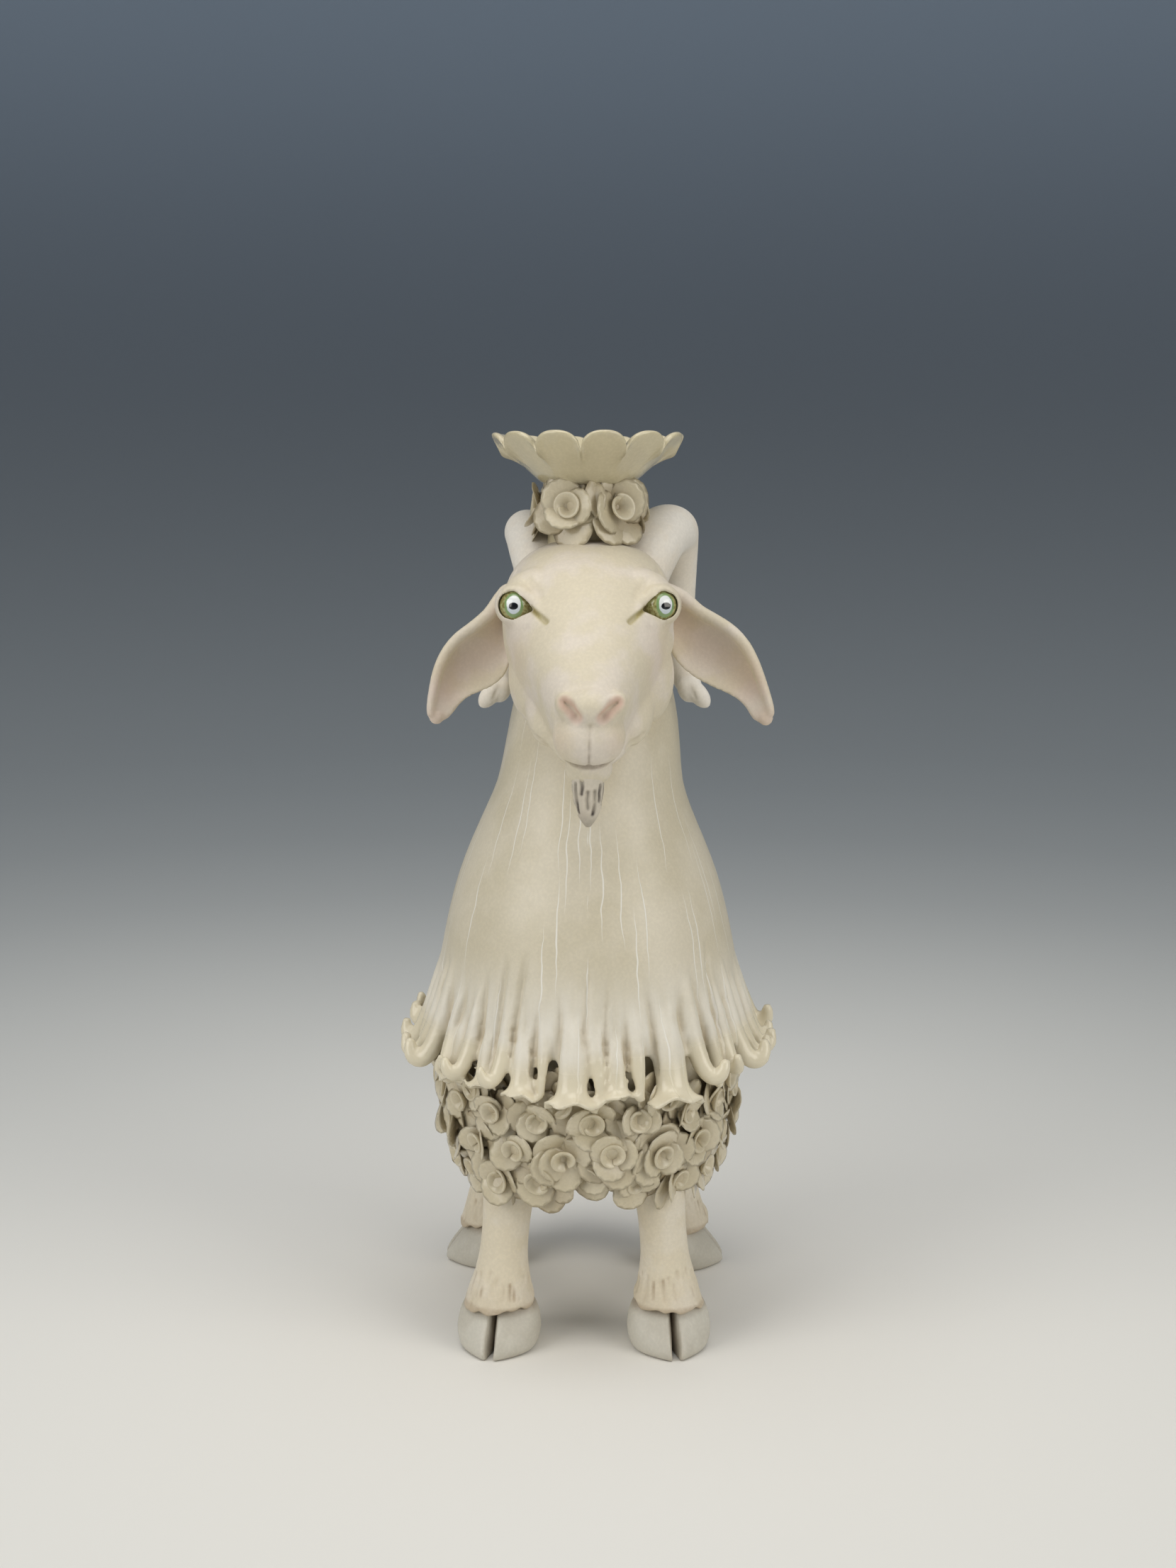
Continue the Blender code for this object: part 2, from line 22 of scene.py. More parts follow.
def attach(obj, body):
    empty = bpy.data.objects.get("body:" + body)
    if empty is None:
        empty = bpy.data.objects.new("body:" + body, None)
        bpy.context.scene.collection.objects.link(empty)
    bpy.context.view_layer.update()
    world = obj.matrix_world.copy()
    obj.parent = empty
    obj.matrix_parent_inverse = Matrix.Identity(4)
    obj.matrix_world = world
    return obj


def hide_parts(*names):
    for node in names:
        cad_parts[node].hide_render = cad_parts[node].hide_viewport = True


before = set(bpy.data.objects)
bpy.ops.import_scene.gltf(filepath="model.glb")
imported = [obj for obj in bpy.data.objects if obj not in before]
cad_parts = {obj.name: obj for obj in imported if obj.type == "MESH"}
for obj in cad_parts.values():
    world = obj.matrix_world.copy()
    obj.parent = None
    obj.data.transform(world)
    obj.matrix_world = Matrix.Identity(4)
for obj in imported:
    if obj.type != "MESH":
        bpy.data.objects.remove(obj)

LOG = logging.getLogger("goat")
MM = 0.001
TURN = 2 * math.pi
FRONT = -math.pi / 2  # the turn of a level outline that faces ahead
ORIGIN_SHIFT_Y = 3.5  # from the middle of the design to the middle of its box

Row = Sequence[float]
Colour = tuple[float, float, float]


class Side(Enum):
    """A side of the goat, as the sign of X there."""

    LEFT = 1
    RIGHT = -1

    @property
    def word(self) -> str:
        """The side's name, as node names use it."""
        return self.name.lower()


class LockEnd(Enum):
    """How a lock of the mantle's hair ends."""

    HOOK = "curls up and outwards"
    DROP = "hangs with a round tip"
    BELL = "opens like a flower"


# ---- shaping clay


def flow(rows: Sequence[Row], steps: int) -> np.ndarray:
    """A smooth run of rows of numbers through the given ones.

    Args:
        rows: The rows to pass through, such as stations of a loft.
        steps: How many steps lie between two of them.

    Returns:
        The rows and those between them, as an array.
    """
    given = np.array(rows, float)
    padded = np.vstack([2 * given[0] - given[1], given, 2 * given[-1] - given[-2]])
    made = []
    for number in range(len(given) - 1):
        a, b, c, d = padded[number : number + 4]
        for t in np.arange(steps) / steps:
            made.append(
                b
                + 0.5 * t * (c - a + t * (2 * a - 5 * b + 4 * c - d + t * (3 * (b - c) + d - a)))
            )
    made.append(given[-1])
    return np.array(made)


def smooth_step(values: np.ndarray, start: float, end: float) -> np.ndarray:
    """A soft 0 to 1 as values go from start to end, in either direction."""
    share = np.clip((values - start) / (end - start), 0, 1)
    return share * share * (3 - 2 * share)


@dataclass
class Ring:
    """One closed outline of a loft: a superellipse with its own reach on each side.

    A positive bow sinks the middle of the outline behind its two edges, as in an ear.
    """

    centre: Vector
    half_width: float
    top: float
    bottom: float
    across: Vector = field(default_factory=lambda: Vector((1, 0, 0)))
    up: Vector = field(default_factory=lambda: Vector((0, 0, 1)))
    squareness: float = 2.0
    bow: float = 0.0

    def point(self, turn: float) -> Vector:
        """The outline's point at that turn, 0 along across and a quarter along up."""
        power = 2 / self.squareness
        c, s = math.cos(turn), math.sin(turn)
        sideways = math.copysign(abs(c) ** power, c)
        reach = self.top if s > 0 else self.bottom
        upwards = reach * math.copysign(abs(s) ** power, s)
        upwards -= self.bow * (1 - sideways * sideways)
        return self.centre + self.across * (sideways * self.half_width) + self.up * upwards


def level_ring(z: float, half_width: float, front: float, back: float, y: float) -> Ring:
    """A level outline at height z, reaching front and back from y."""
    return Ring(Vector((0, y, z)), half_width, back, front, up=Vector((0, 1, 0)))


def loft(
    outlines: Sequence[Callable[[float], Vector]], segments: int, ends: str = "capped"
) -> bmesh.types.BMesh:
    """A skin through outlines.

    Args:
        outlines: For each ring, a function from a turn to its point.
        segments: How many points a ring has.
        ends: "capped", "floor" to cap only the first ring, or "ring" to join the
            last ring to the first.

    Returns:
        A new bmesh, in the outlines' own unit.
    """
    bm = bmesh.new()
    turns = bm.verts.layers.float.new("turn")
    for vert in bmesh.ops.create_circle(bm, segments=segments, radius=1)["verts"]:
        vert[turns] = math.atan2(vert.co.y, vert.co.x)
    first = edges = bm.edges[:]
    verts = bm.verts[:]
    for number, outline in enumerate(outlines):
        if number:
            made = bmesh.ops.extrude_edge_only(bm, edges=edges)["geom"]
            verts = [g for g in made if isinstance(g, bmesh.types.BMVert)]
            edges = [g for g in made if isinstance(g, bmesh.types.BMEdge) and g.is_boundary]
        for vert in verts:
            vert.co = outline(vert[turns])
    if ends == "ring":
        bmesh.ops.bridge_loops(bm, edges=first + edges)
    else:
        bmesh.ops.holes_fill(bm, edges=first if ends == "floor" else bm.edges)
    bmesh.ops.recalc_face_normals(bm, faces=bm.faces)
    return bm


def tube(stations: Sequence[Row], segments: int, flatness: float = 1.0) -> bmesh.types.BMesh:
    """A round rod along a curve.

    Args:
        stations: Rows of x, y, z and radius.
        segments: Points round the rod.
        flatness: The rod's thickness as a share of its width.

    Returns:
        A closed bmesh.
    """
    points = [Vector(row[:3]) for row in stations]
    rings = []
    across = Vector((1, 0, 0))
    for number, (at, row) in enumerate(zip(points, stations)):
        along = points[min(number + 1, len(points) - 1)] - points[max(number - 1, 0)]
        along.normalize()
        across = (across - along * across.dot(along)).normalized()
        radius = float(row[3])
        reach = radius * flatness
        rings.append(Ring(at, radius, reach, reach, across, along.cross(across)).point)
    return loft(rings, segments)


def new_object(name: str, data: bpy.types.ID) -> bpy.types.Object:
    """An object of that mesh, lamp or camera, in the scene."""
    obj = bpy.data.objects.new(name, data)
    bpy.context.scene.collection.objects.link(obj)
    return obj


def mesh_of(bm: bmesh.types.BMesh, name: str) -> bpy.types.Mesh:
    """Turns a bmesh into a mesh and frees it."""
    mesh = bpy.data.meshes.new(name)
    bm.to_mesh(mesh)
    bm.free()
    return mesh


def mesh_in_metres(bm: bmesh.types.BMesh, name: str) -> bpy.types.Mesh:
    """Turns a bmesh in millimetres into a mesh in metres, and frees it."""
    bmesh.ops.scale(bm, vec=(MM, MM, MM), verts=bm.verts)
    return mesh_of(bm, name)


class Surface:
    """The skin of a fused lump of clay, which can be pressed and stained."""

    def __init__(self, mesh: bpy.types.Mesh) -> None:
        """Reads the skin's points and normals from a mesh in millimetres."""
        self.mesh = mesh
        self.tree: BVHTree | None = None
        self.stains: dict[str, np.ndarray] = {}
        self.points = np.empty((len(mesh.vertices), 3), np.float32)
        self.normals = np.empty_like(self.points)
        mesh.vertices.foreach_get("co", self.points.ravel())
        mesh.vertices.foreach_get("normal", self.normals.ravel())

    def near(self, centre: Row, radius: float) -> np.ndarray:
        """How near each point is: 1 at the centre, 0 from the radius on."""
        away = np.linalg.norm(self.points - np.array(centre, np.float32), axis=1)
        return smooth_step(away, radius, 0)

    def along(self, path: Sequence[Row], width: float) -> np.ndarray:
        """How near each point is to a path.

        Args:
            path: Rows that start with x, y and z. An empty path is near nothing.
            width: How far from the path the nearness runs out.

        Returns:
            One weight per point: 1 on the path, 0 from that width on.
        """
        best = np.full(len(self.points), width, np.float32)
        if len(path) == 0:
            return best * 0
        corners = np.array(path, np.float32)[:, :3]
        low, high = corners.min(axis=0) - width, corners.max(axis=0) + width
        inside = np.flatnonzero(((self.points > low) & (self.points < high)).all(axis=1))
        points = self.points[inside]
        for start, end in zip(corners[:-1], corners[1:]):
            way = end - start
            share = np.clip((points - start) @ way / max(float(way @ way), 1e-9), 0, 1)
            away = np.linalg.norm(points - start - share[:, None] * way, axis=1)
            best[inside] = np.minimum(best[inside], away)
        return smooth_step(np.minimum(best, width), width, 0)

    def seen(self, path: Sequence[Row]) -> list[Vector]:
        """Where the skin is seen from ahead.

        Args:
            path: The x and z to look at.

        Returns:
            The points found, without those where nothing is seen.
        """
        if self.tree is None:
            bm = bmesh.new()
            bm.from_mesh(self.mesh)
            self.tree = BVHTree.FromBMesh(bm)
            bm.free()
        ahead = [self.tree.ray_cast(Vector((x, -200, z)), Vector((0, 1, 0)))[0] for x, z in path]
        return [at for at in ahead if at is not None]

    def press(self, weights: np.ndarray, depth: float) -> None:
        """Pushes the skin inwards by that depth where the weights are 1."""
        self.points -= self.normals * (weights * depth)[:, None]

    def stain(self, name: str, weights: np.ndarray) -> None:
        """Adds to the named stain, which a finish reads; the one named hollow is painted shade."""
        before = self.stains.get(name, np.zeros(len(self.points), np.float32))
        self.stains[name] = np.clip(np.maximum(before, weights), 0, 1)

    def hollows(self, spread: int, gain: float) -> np.ndarray:
        """How far each point lies in a crease, from 0 to 1: the mask of the painted shade in
        creases.

        Args:
            spread: How many rounds of blurring widen the creases.
            gain: What a crease's depth in millimetres is multiplied by.

        Returns:
            One weight per point.
        """
        ends = np.empty((len(self.mesh.edges), 2), np.int32)
        self.mesh.edges.foreach_get("vertices", ends.ravel())
        a, b = ends.T
        count = np.bincount(ends.ravel(), minlength=len(self.points)).astype(np.float32)

        def mean(values: np.ndarray) -> np.ndarray:
            """The mean of each point's neighbours."""
            total = np.bincount(a, values[b], len(count)) + np.bincount(b, values[a], len(count))
            return total / count

        smooth = np.stack([mean(self.points[:, axis]) for axis in range(3)], axis=1)
        for _ in range(spread):
            smooth = np.stack([mean(smooth[:, axis]) for axis in range(3)], axis=1)
        depth = ((smooth - self.points) * self.normals).sum(axis=1)
        for _ in range(2):
            depth = mean(depth)
        return np.clip(depth * gain, 0, 1).astype(np.float32)

    def finish(self) -> bpy.types.Mesh:
        """Writes the points, in metres, and the stains to the mesh."""
        self.mesh.vertices.foreach_set("co", (self.points * MM).ravel())
        for name, weights in self.stains.items():
            layer = self.mesh.attributes.new(name, "FLOAT", "POINT")
            layer.data.foreach_set("value", weights.astype(np.float32))
        self.mesh.update()
        return self.mesh


class Clay:
    """Closed shapes that are pressed into one lump, as wet clay is with slip."""

    def __init__(self) -> None:
        """An empty board."""
        self.bm = bmesh.new()
        self.holes: list[bmesh.types.BMesh] = []

    def add(self, part: bmesh.types.BMesh) -> "Clay":
        """Puts a closed shape on the lump and frees it."""
        mesh = mesh_of(part, "part")
        self.bm.from_mesh(mesh)
        bpy.data.meshes.remove(mesh)
        return self

    def ball(self, centre: Row, radii: Row, degrees: Row = (0, 0, 0)) -> "Clay":
        """Puts a stretched ball on the lump.

        Args:
            centre: Its middle.
            radii: Its three radii.
            degrees: How far it is turned round X, Y and Z.

        Returns:
            The lump itself.
        """
        turn = Euler([math.radians(d) for d in degrees]).to_matrix().to_4x4()
        place = Matrix.Translation(centre) @ turn @ Matrix.Diagonal((*radii, 1))
        bmesh.ops.create_icosphere(self.bm, subdivisions=3, radius=1, matrix=place)
        return self

    def fuse(self, grain: float, smoothing: int) -> Surface:
        """Joins everything into one skin.

        Args:
            grain: The size of the skin's faces.
            smoothing: How many rounds of smoothing soften the joins.

        Returns:
            The skin, in millimetres.
        """
        lump = new_object("lump", mesh_of(self.bm, "lump"))
        remesh(lump, grain)
        cutters = [new_object("hole", mesh_of(hole, "hole")) for hole in self.holes]
        for cutter in cutters:
            hole = lump.modifiers.new("hole", "BOOLEAN")
            hole.operation = "DIFFERENCE"
            hole.object = cutter
        if cutters:
            remesh(lump, grain)
        soften = lump.modifiers.new("soften", "SMOOTH")
        soften.factor = 0.5
        soften.iterations = smoothing
        mesh = applied(lump)
        for obj in [lump, *cutters]:
            bpy.data.objects.remove(obj)
        return Surface(mesh)


def remesh(obj: bpy.types.Object, grain: float) -> None:
    """Adds the modifier that gives a lump one even skin."""
    even = obj.modifiers.new("even", "REMESH")
    even.mode = "VOXEL"
    even.voxel_size = grain


def applied(obj: bpy.types.Object) -> bpy.types.Mesh:
    """A new mesh of the object with its modifiers applied."""
    graph = bpy.context.evaluated_depsgraph_get()
    return bpy.data.meshes.new_from_object(obj.evaluated_get(graph))


def piece(
    name: str,
    mesh: bpy.types.Mesh,
    material: bpy.types.Material,
    nodes: Iterable[str] = (),
) -> bpy.types.Object:
    """Makes a finished piece that rides on the figure.

    Args:
        name: The piece's name.
        mesh: Its mesh, in metres and in place.
        material: Its finish.
        nodes: The frame's nodes that it stands for.

    Returns:
        The object.
    """
    obj = new_object(name, mesh)
    mesh.materials.clear()
    mesh.materials.append(material)
    mesh.shade_smooth()
    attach(obj, "root")
    if nodes:
        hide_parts(*nodes)
    LOG.info("%s: %d faces", name, len(mesh.polygons))
    return obj


def subdivided(obj: bpy.types.Object, levels: int) -> bpy.types.Object:
    """Rounds a piece with a subdivision surface of that many levels."""
    rounding = obj.modifiers.new("rounding", "SUBSURF")
    rounding.levels = levels
    rounding.render_levels = levels
    return obj


# ---- finishes


class Graph:
    """Short words for building a node tree."""

    def __init__(self, tree: bpy.types.NodeTree) -> None:
        """Works on that tree."""
        self.tree = tree

    def node(self, kind: str, **settings: object) -> bpy.types.Node:
        """A new node of that kind with those settings."""
        node = self.tree.nodes.new(kind)
        for key, value in settings.items():
            setattr(node, key, value)
        return node

    def join(self, source: bpy.types.NodeSocket, target: bpy.types.NodeSocket) -> None:
        """Links a source socket to a target socket."""
        self.tree.links.new(source, target)

    def feed(self, value: object, target: bpy.types.NodeSocket) -> None:
        """Links a socket, or sets a plain value."""
        if isinstance(value, bpy.types.NodeSocket):
            self.join(value, target)
        else:
            target.default_value = value

    def math(self, operation: str, *values: object) -> bpy.types.NodeSocket:
        """The result of a math node."""
        node = self.node("ShaderNodeMath", operation=operation)
        for value, target in zip(values, node.inputs):
            self.feed(value, target)
        return node.outputs[0]

    def vector(self, operation: str, *values: object) -> bpy.types.NodeSocket:
        """The vector that a vector math node gives."""
        node = self.node("ShaderNodeVectorMath", operation=operation)
        for value, target in zip(values, node.inputs):
            self.feed(value, target)
        return node.outputs[0]

    def mix(self, share: object, first: object, second: object) -> bpy.types.NodeSocket:
        """Two colours mixed by a share."""
        node = self.node("ShaderNodeMix", data_type="RGBA")
        self.feed(share, node.inputs["Factor"])
        for value, target in ((first, node.inputs[6]), (second, node.inputs[7])):
            self.feed((*value, 1) if isinstance(value, tuple) else value, target)
        return node.outputs[2]

    def soft(self, value: object, low: float, high: float) -> bpy.types.NodeSocket:
        """A soft 0 to 1 as the value goes from low to high, which may lie below low."""
        node = self.node("ShaderNodeMapRange", interpolation_type="SMOOTHSTEP")
        self.feed(value, node.inputs[0])
        node.inputs["From Min"].default_value = low
        node.inputs["From Max"].default_value = high
        return node.outputs[0]

    def span(self, value: object, low: object, high: object) -> bpy.types.NodeSocket:
        """A 0 to 1 value spread from low to high."""
        node = self.node("ShaderNodeMapRange")
        self.feed(value, node.inputs[0])
        self.feed(low, node.inputs["To Min"])
        self.feed(high, node.inputs["To Max"])
        return node.outputs[0]

    def noise(self, where: object, scale: object, detail: float = 3) -> bpy.types.NodeSocket:
        """A noise texture's value."""
        node = self.node("ShaderNodeTexNoise")
        self.feed(where, node.inputs["Vector"])
        self.feed(scale, node.inputs["Scale"])
        node.inputs["Detail"].default_value = detail
        return node.outputs[0]

    def stain(self, name: str) -> bpy.types.NodeSocket:
        """A stain that was laid on the piece's skin."""
        return self.node("ShaderNodeAttribute", attribute_name=name).outputs["Fac"]

    def place(self) -> bpy.types.NodeSocket:
        """Where a point is on the piece, in metres."""
        return self.node("ShaderNodeTexCoord").outputs["Object"]


def new_material(name: str) -> tuple[bpy.types.Material, Graph, bpy.types.Node]:
    """A material with that name, its graph and its shader."""
    made = bpy.data.materials.new(name)
    made.use_nodes = True
    return made, Graph(made.node_tree), made.node_tree.nodes["Principled BSDF"]


def new_group(
    name: str, inputs: Sequence[tuple[str, str, object]], outputs: Sequence[tuple[str, str]]
) -> tuple[bpy.types.NodeTree, Graph, bpy.types.Node, bpy.types.Node]:
    """A shader node group with named sockets.

    Args:
        name: The group's name.
        inputs: Name, short socket type and default value of each input.
        outputs: Name and short socket type of each output.

    Returns:
        The group, its graph, its input node and its output node.
    """
    tree = bpy.data.node_groups.new(name, "ShaderNodeTree")
    for label, kind, value in inputs:
        socket = tree.interface.new_socket(
            label, in_out="INPUT", socket_type="NodeSocket" + kind
        )
        socket.default_value = value
    for label, kind in outputs:
        tree.interface.new_socket(label, in_out="OUTPUT", socket_type="NodeSocket" + kind)
    graph = Graph(tree)
    return tree, graph, graph.node("NodeGroupInput"), graph.node("NodeGroupOutput")


class Effects:
    """Effects that several finishes share, each a node group built once."""

    def __init__(self) -> None:
        """Builds the groups."""
        self.tone = self.clay_tone()
        self.specks = self.iron_specks()
        self.marks = self.hand_marks()
        self.hair = self.combed_hair()

    @staticmethod
    def clay_tone() -> bpy.types.NodeTree:
        """Uneven colour: broad patches of a tint, and a fine mottle."""
        tree, graph, given, made = new_group(
            "clay tone",
            [
                ("Colour", "Color", (1, 1, 1, 1)),
                ("Tint", "Color", (1, 1, 1, 1)),
                ("Patch Scale", "Float", 60.0),
                ("Patches", "Float", 0.5),
            ],
            [("Colour", "Color")],
        )
        where = graph.place()
        broad = graph.soft(graph.noise(where, given.outputs["Patch Scale"], 4), 0.42, 0.62)
        share = graph.math("MULTIPLY", broad, given.outputs["Patches"])
        colour = graph.mix(share, given.outputs["Colour"], given.outputs["Tint"])
        fine = graph.soft(graph.noise(where, 900.0, 2), 0.35, 0.75)
        shade = graph.span(fine, 0.965, 1.03)
        scaled = graph.node("ShaderNodeVectorMath", operation="SCALE")
        graph.join(colour, scaled.inputs[0])
        graph.join(shade, scaled.inputs["Scale"])
        graph.join(scaled.outputs[0], made.inputs["Colour"])
        return tree

    @staticmethod
    def iron_specks() -> bpy.types.NodeTree:
        """Small dark specks, scattered so that only some cells hold one."""
        tree, graph, given, made = new_group(
            "iron specks",
            [("Scale", "Float", 150.0), ("Size", "Float", 0.05), ("Share", "Float", 0.1)],
            [("Mask", "Float")],
        )
        cells = graph.node("ShaderNodeTexVoronoi")
        graph.join(graph.place(), cells.inputs["Vector"])
        graph.join(given.outputs["Scale"], cells.inputs["Scale"])
        parts = graph.node("ShaderNodeSeparateColor")
        graph.join(cells.outputs["Color"], parts.inputs[0])
        chosen = graph.math("LESS_THAN", parts.outputs[0], given.outputs["Share"])
        size = graph.math("MULTIPLY", given.outputs["Size"], parts.outputs[1])
        inside = graph.math("LESS_THAN", cells.outputs["Distance"], size)
        graph.join(graph.math("MULTIPLY", chosen, inside), made.inputs["Mask"])
        return tree

    @staticmethod
    def hand_marks() -> bpy.types.NodeTree:
        """The height of finger and brush marks in the clay."""
        tree, graph, given, made = new_group(
            "hand marks",
            [("Broad", "Float", 0.6), ("Fine", "Float", 0.3)],
            [("Height", "Float")],
        )
        where = graph.place()
        broad = graph.math("MULTIPLY", graph.noise(where, 110.0, 3), given.outputs["Broad"])
        fine = graph.math("MULTIPLY", graph.noise(where, 1300.0, 2), given.outputs["Fine"])
        graph.join(graph.math("ADD", broad, fine), made.inputs["Height"])
        return tree

    @staticmethod
    def combed_hair() -> bpy.types.NodeTree:
        """Thin wavy strokes, tapered at both ends, that run down round the upright axis."""
        tree, graph, given, made = new_group(
            "combed hair",
            [
                ("Columns", "Float", 14.0),
                ("Rows", "Float", 24.0),
                ("Width", "Float", 0.09),
                ("Share", "Float", 0.3),
            ],
            [("Mask", "Float")],
        )
        where = graph.place()
        parts = graph.node("ShaderNodeSeparateXYZ")
        graph.join(where, parts.inputs[0])
        round_it = graph.math("ARCTAN2", parts.outputs[0], parts.outputs[1])
        sway = graph.math("MULTIPLY", graph.noise(where, 55.0, 2), 0.09)
        swayed = graph.math("ADD", round_it, sway)
        around = graph.math("MULTIPLY", swayed, given.outputs["Columns"])
        column = graph.math("FLOOR", around)
        shift = graph.node("ShaderNodeTexWhiteNoise", noise_dimensions="1D")
        graph.join(column, shift.inputs["W"])
        height = graph.math("MULTIPLY", parts.outputs[2], given.outputs["Rows"])
        down = graph.math("ADD", height, graph.math("MULTIPLY", shift.outputs["Value"], 7.0))
        cell = graph.node("ShaderNodeCombineXYZ")
        graph.join(column, cell.inputs[0])
        graph.join(graph.math("FLOOR", down), cell.inputs[1])
        chance = graph.node("ShaderNodeTexWhiteNoise", noise_dimensions="2D")
        graph.join(cell.outputs[0], chance.inputs["Vector"])
        chances = graph.node("ShaderNodeSeparateColor")
        graph.join(chance.outputs["Color"], chances.inputs[0])
        middle = graph.span(chances.outputs[0], 0.3, 0.7)
        away = graph.math("SUBTRACT", graph.math("FRACT", around), middle)
        taper = graph.math("SINE", graph.math("MULTIPLY", graph.math("FRACT", down), math.pi))
        width = graph.math("MULTIPLY", given.outputs["Width"], taper)
        thin = graph.math("DIVIDE", graph.math("ABSOLUTE", away), graph.math("ADD", width, 0.001))
        line = graph.soft(thin, 1.0, 0.3)
        chosen = graph.math("LESS_THAN", chances.outputs[1], given.outputs["Share"])
        graph.join(graph.math("MULTIPLY", line, chosen), made.inputs["Mask"])
        return tree


EFFECTS = Effects()


@dataclass(frozen=True)
class Finish:
    """A clay or glaze, and the stains and painted shade that it shows where a piece carries them."""

    name: str
    colour: Colour
    tint: Colour
    roughness: float
    patches: float = 0.5
    patch_scale: float = 60.0
    specks: float = 0.05
    coat: float = 0.0
    broad_marks: float = 0.6
    fine_marks: float = 0.3
    bump: float = 0.25
    wash: Colour = (0.16, 0.105, 0.06)
    # The crease colour below is painted shade. It is laid in creases where a piece carries the
    # hollow stain, and the strength after it sets how dark it goes.
    crease: Colour = (0.42, 0.33, 0.22)
    crease_shade_strength: float = 0.5

    def base(self, graph: Graph) -> bpy.types.NodeSocket:
        """The uneven colour of the clay, with its specks."""
        tone = graph.node("ShaderNodeGroup", node_tree=EFFECTS.tone)
        tone.inputs["Colour"].default_value = (*self.colour, 1)
        tone.inputs["Tint"].default_value = (*self.tint, 1)
        tone.inputs["Patch Scale"].default_value = self.patch_scale
        tone.inputs["Patches"].default_value = self.patches
        specks = graph.node("ShaderNodeGroup", node_tree=EFFECTS.specks)
        specks.inputs["Share"].default_value = self.specks
        return graph.mix(specks.outputs[0], tone.outputs[0], (0.12, 0.08, 0.05))

    def stained(self, graph: Graph, colour: bpy.types.NodeSocket) -> bpy.types.NodeSocket:
        """The colour with pink blush, painted shade in creases and dark wash over it."""
        colour = graph.mix(graph.stain("blush"), colour, (0.57, 0.30, 0.245))
        colour = graph.mix(graph.stain("moss"), colour, (0.33, 0.28, 0.09))
        # Painted shade: the hollow stain darkens creases towards the crease colour.
        crease = graph.math("MULTIPLY", graph.stain("hollow"), self.crease_shade_strength)
        colour = graph.mix(crease, colour, self.crease)
        grain = graph.span(graph.noise(graph.place(), 700.0, 3), 0.55, 1.25)
        wash = graph.math("MULTIPLY", graph.stain("wash"), grain)
        return graph.mix(wash, colour, self.wash)

    def height(self, graph: Graph) -> bpy.types.NodeSocket:
        """The height of the marks on it."""
        marks = graph.node("ShaderNodeGroup", node_tree=EFFECTS.marks)
        marks.inputs["Broad"].default_value = self.broad_marks
        marks.inputs["Fine"].default_value = self.fine_marks
        return marks.outputs[0]

    def rough(self, graph: Graph) -> bpy.types.NodeSocket:
        """Its roughness, which varies a little."""
        return graph.span(
            graph.noise(graph.place(), 140.0, 2), self.roughness - 0.05, self.roughness + 0.07
        )

    def material(self) -> bpy.types.Material:
        """The finish as a material."""
        made, graph, shader = new_material(self.name)
        shader.inputs["Coat Weight"].default_value = self.coat
        shader.inputs["Coat Roughness"].default_value = 0.08
        graph.join(self.stained(graph, self.base(graph)), shader.inputs["Base Color"])
        graph.join(self.rough(graph), shader.inputs["Roughness"])
        bump = graph.node("ShaderNodeBump")
        bump.inputs["Strength"].default_value = self.bump
        bump.inputs["Distance"].default_value = 0.6 * MM
        graph.join(self.height(graph), bump.inputs["Height"])
        graph.join(bump.outputs[0], shader.inputs["Normal"])
        return made


@dataclass(frozen=True)
class MantleFinish(Finish):
    """Cream slip with combed white strokes, white locks and glossy tips."""

    white: Colour = (0.80, 0.77, 0.70)
    tip: Colour = (0.71, 0.645, 0.49)

    def strokes(self, graph: Graph) -> bpy.types.NodeSocket:
        """Where the comb scratched the slip down to the white clay."""
        fine = graph.node("ShaderNodeGroup", node_tree=EFFECTS.hair)
        fine.inputs["Width"].default_value = 0.10
        fine.inputs["Share"].default_value = 0.32
        return fine.outputs[0]

    def base(self, graph: Graph) -> bpy.types.NodeSocket:
        """Cream, with white strokes and locks and warm tips."""
        cream = super().base(graph)
        streaks = graph.noise(
            graph.vector("MULTIPLY", graph.place(), (1.0, 1.0, 0.16)), 260.0, 3
        )
        white = graph.math("MULTIPLY", graph.stain("white"), graph.span(streaks, 0.2, 1.5))
        strokes = graph.math("MULTIPLY", self.strokes(graph), 0.95)
        colour = graph.mix(graph.math("MAXIMUM", white, strokes), cream, self.white)
        return graph.mix(graph.stain("gloss"), colour, self.tip)

    def height(self, graph: Graph) -> bpy.types.NodeSocket:
        """The marks, with the strokes cut into them."""
        return graph.math("SUBTRACT", super().height(graph), self.strokes(graph))

    def rough(self, graph: Graph) -> bpy.types.NodeSocket:
        """Satin slip, matte locks, and glossy glaze on the tips."""
        matte = graph.span(graph.stain("white"), super().rough(graph), 0.62)
        return graph.span(graph.stain("gloss"), matte, 0.13)


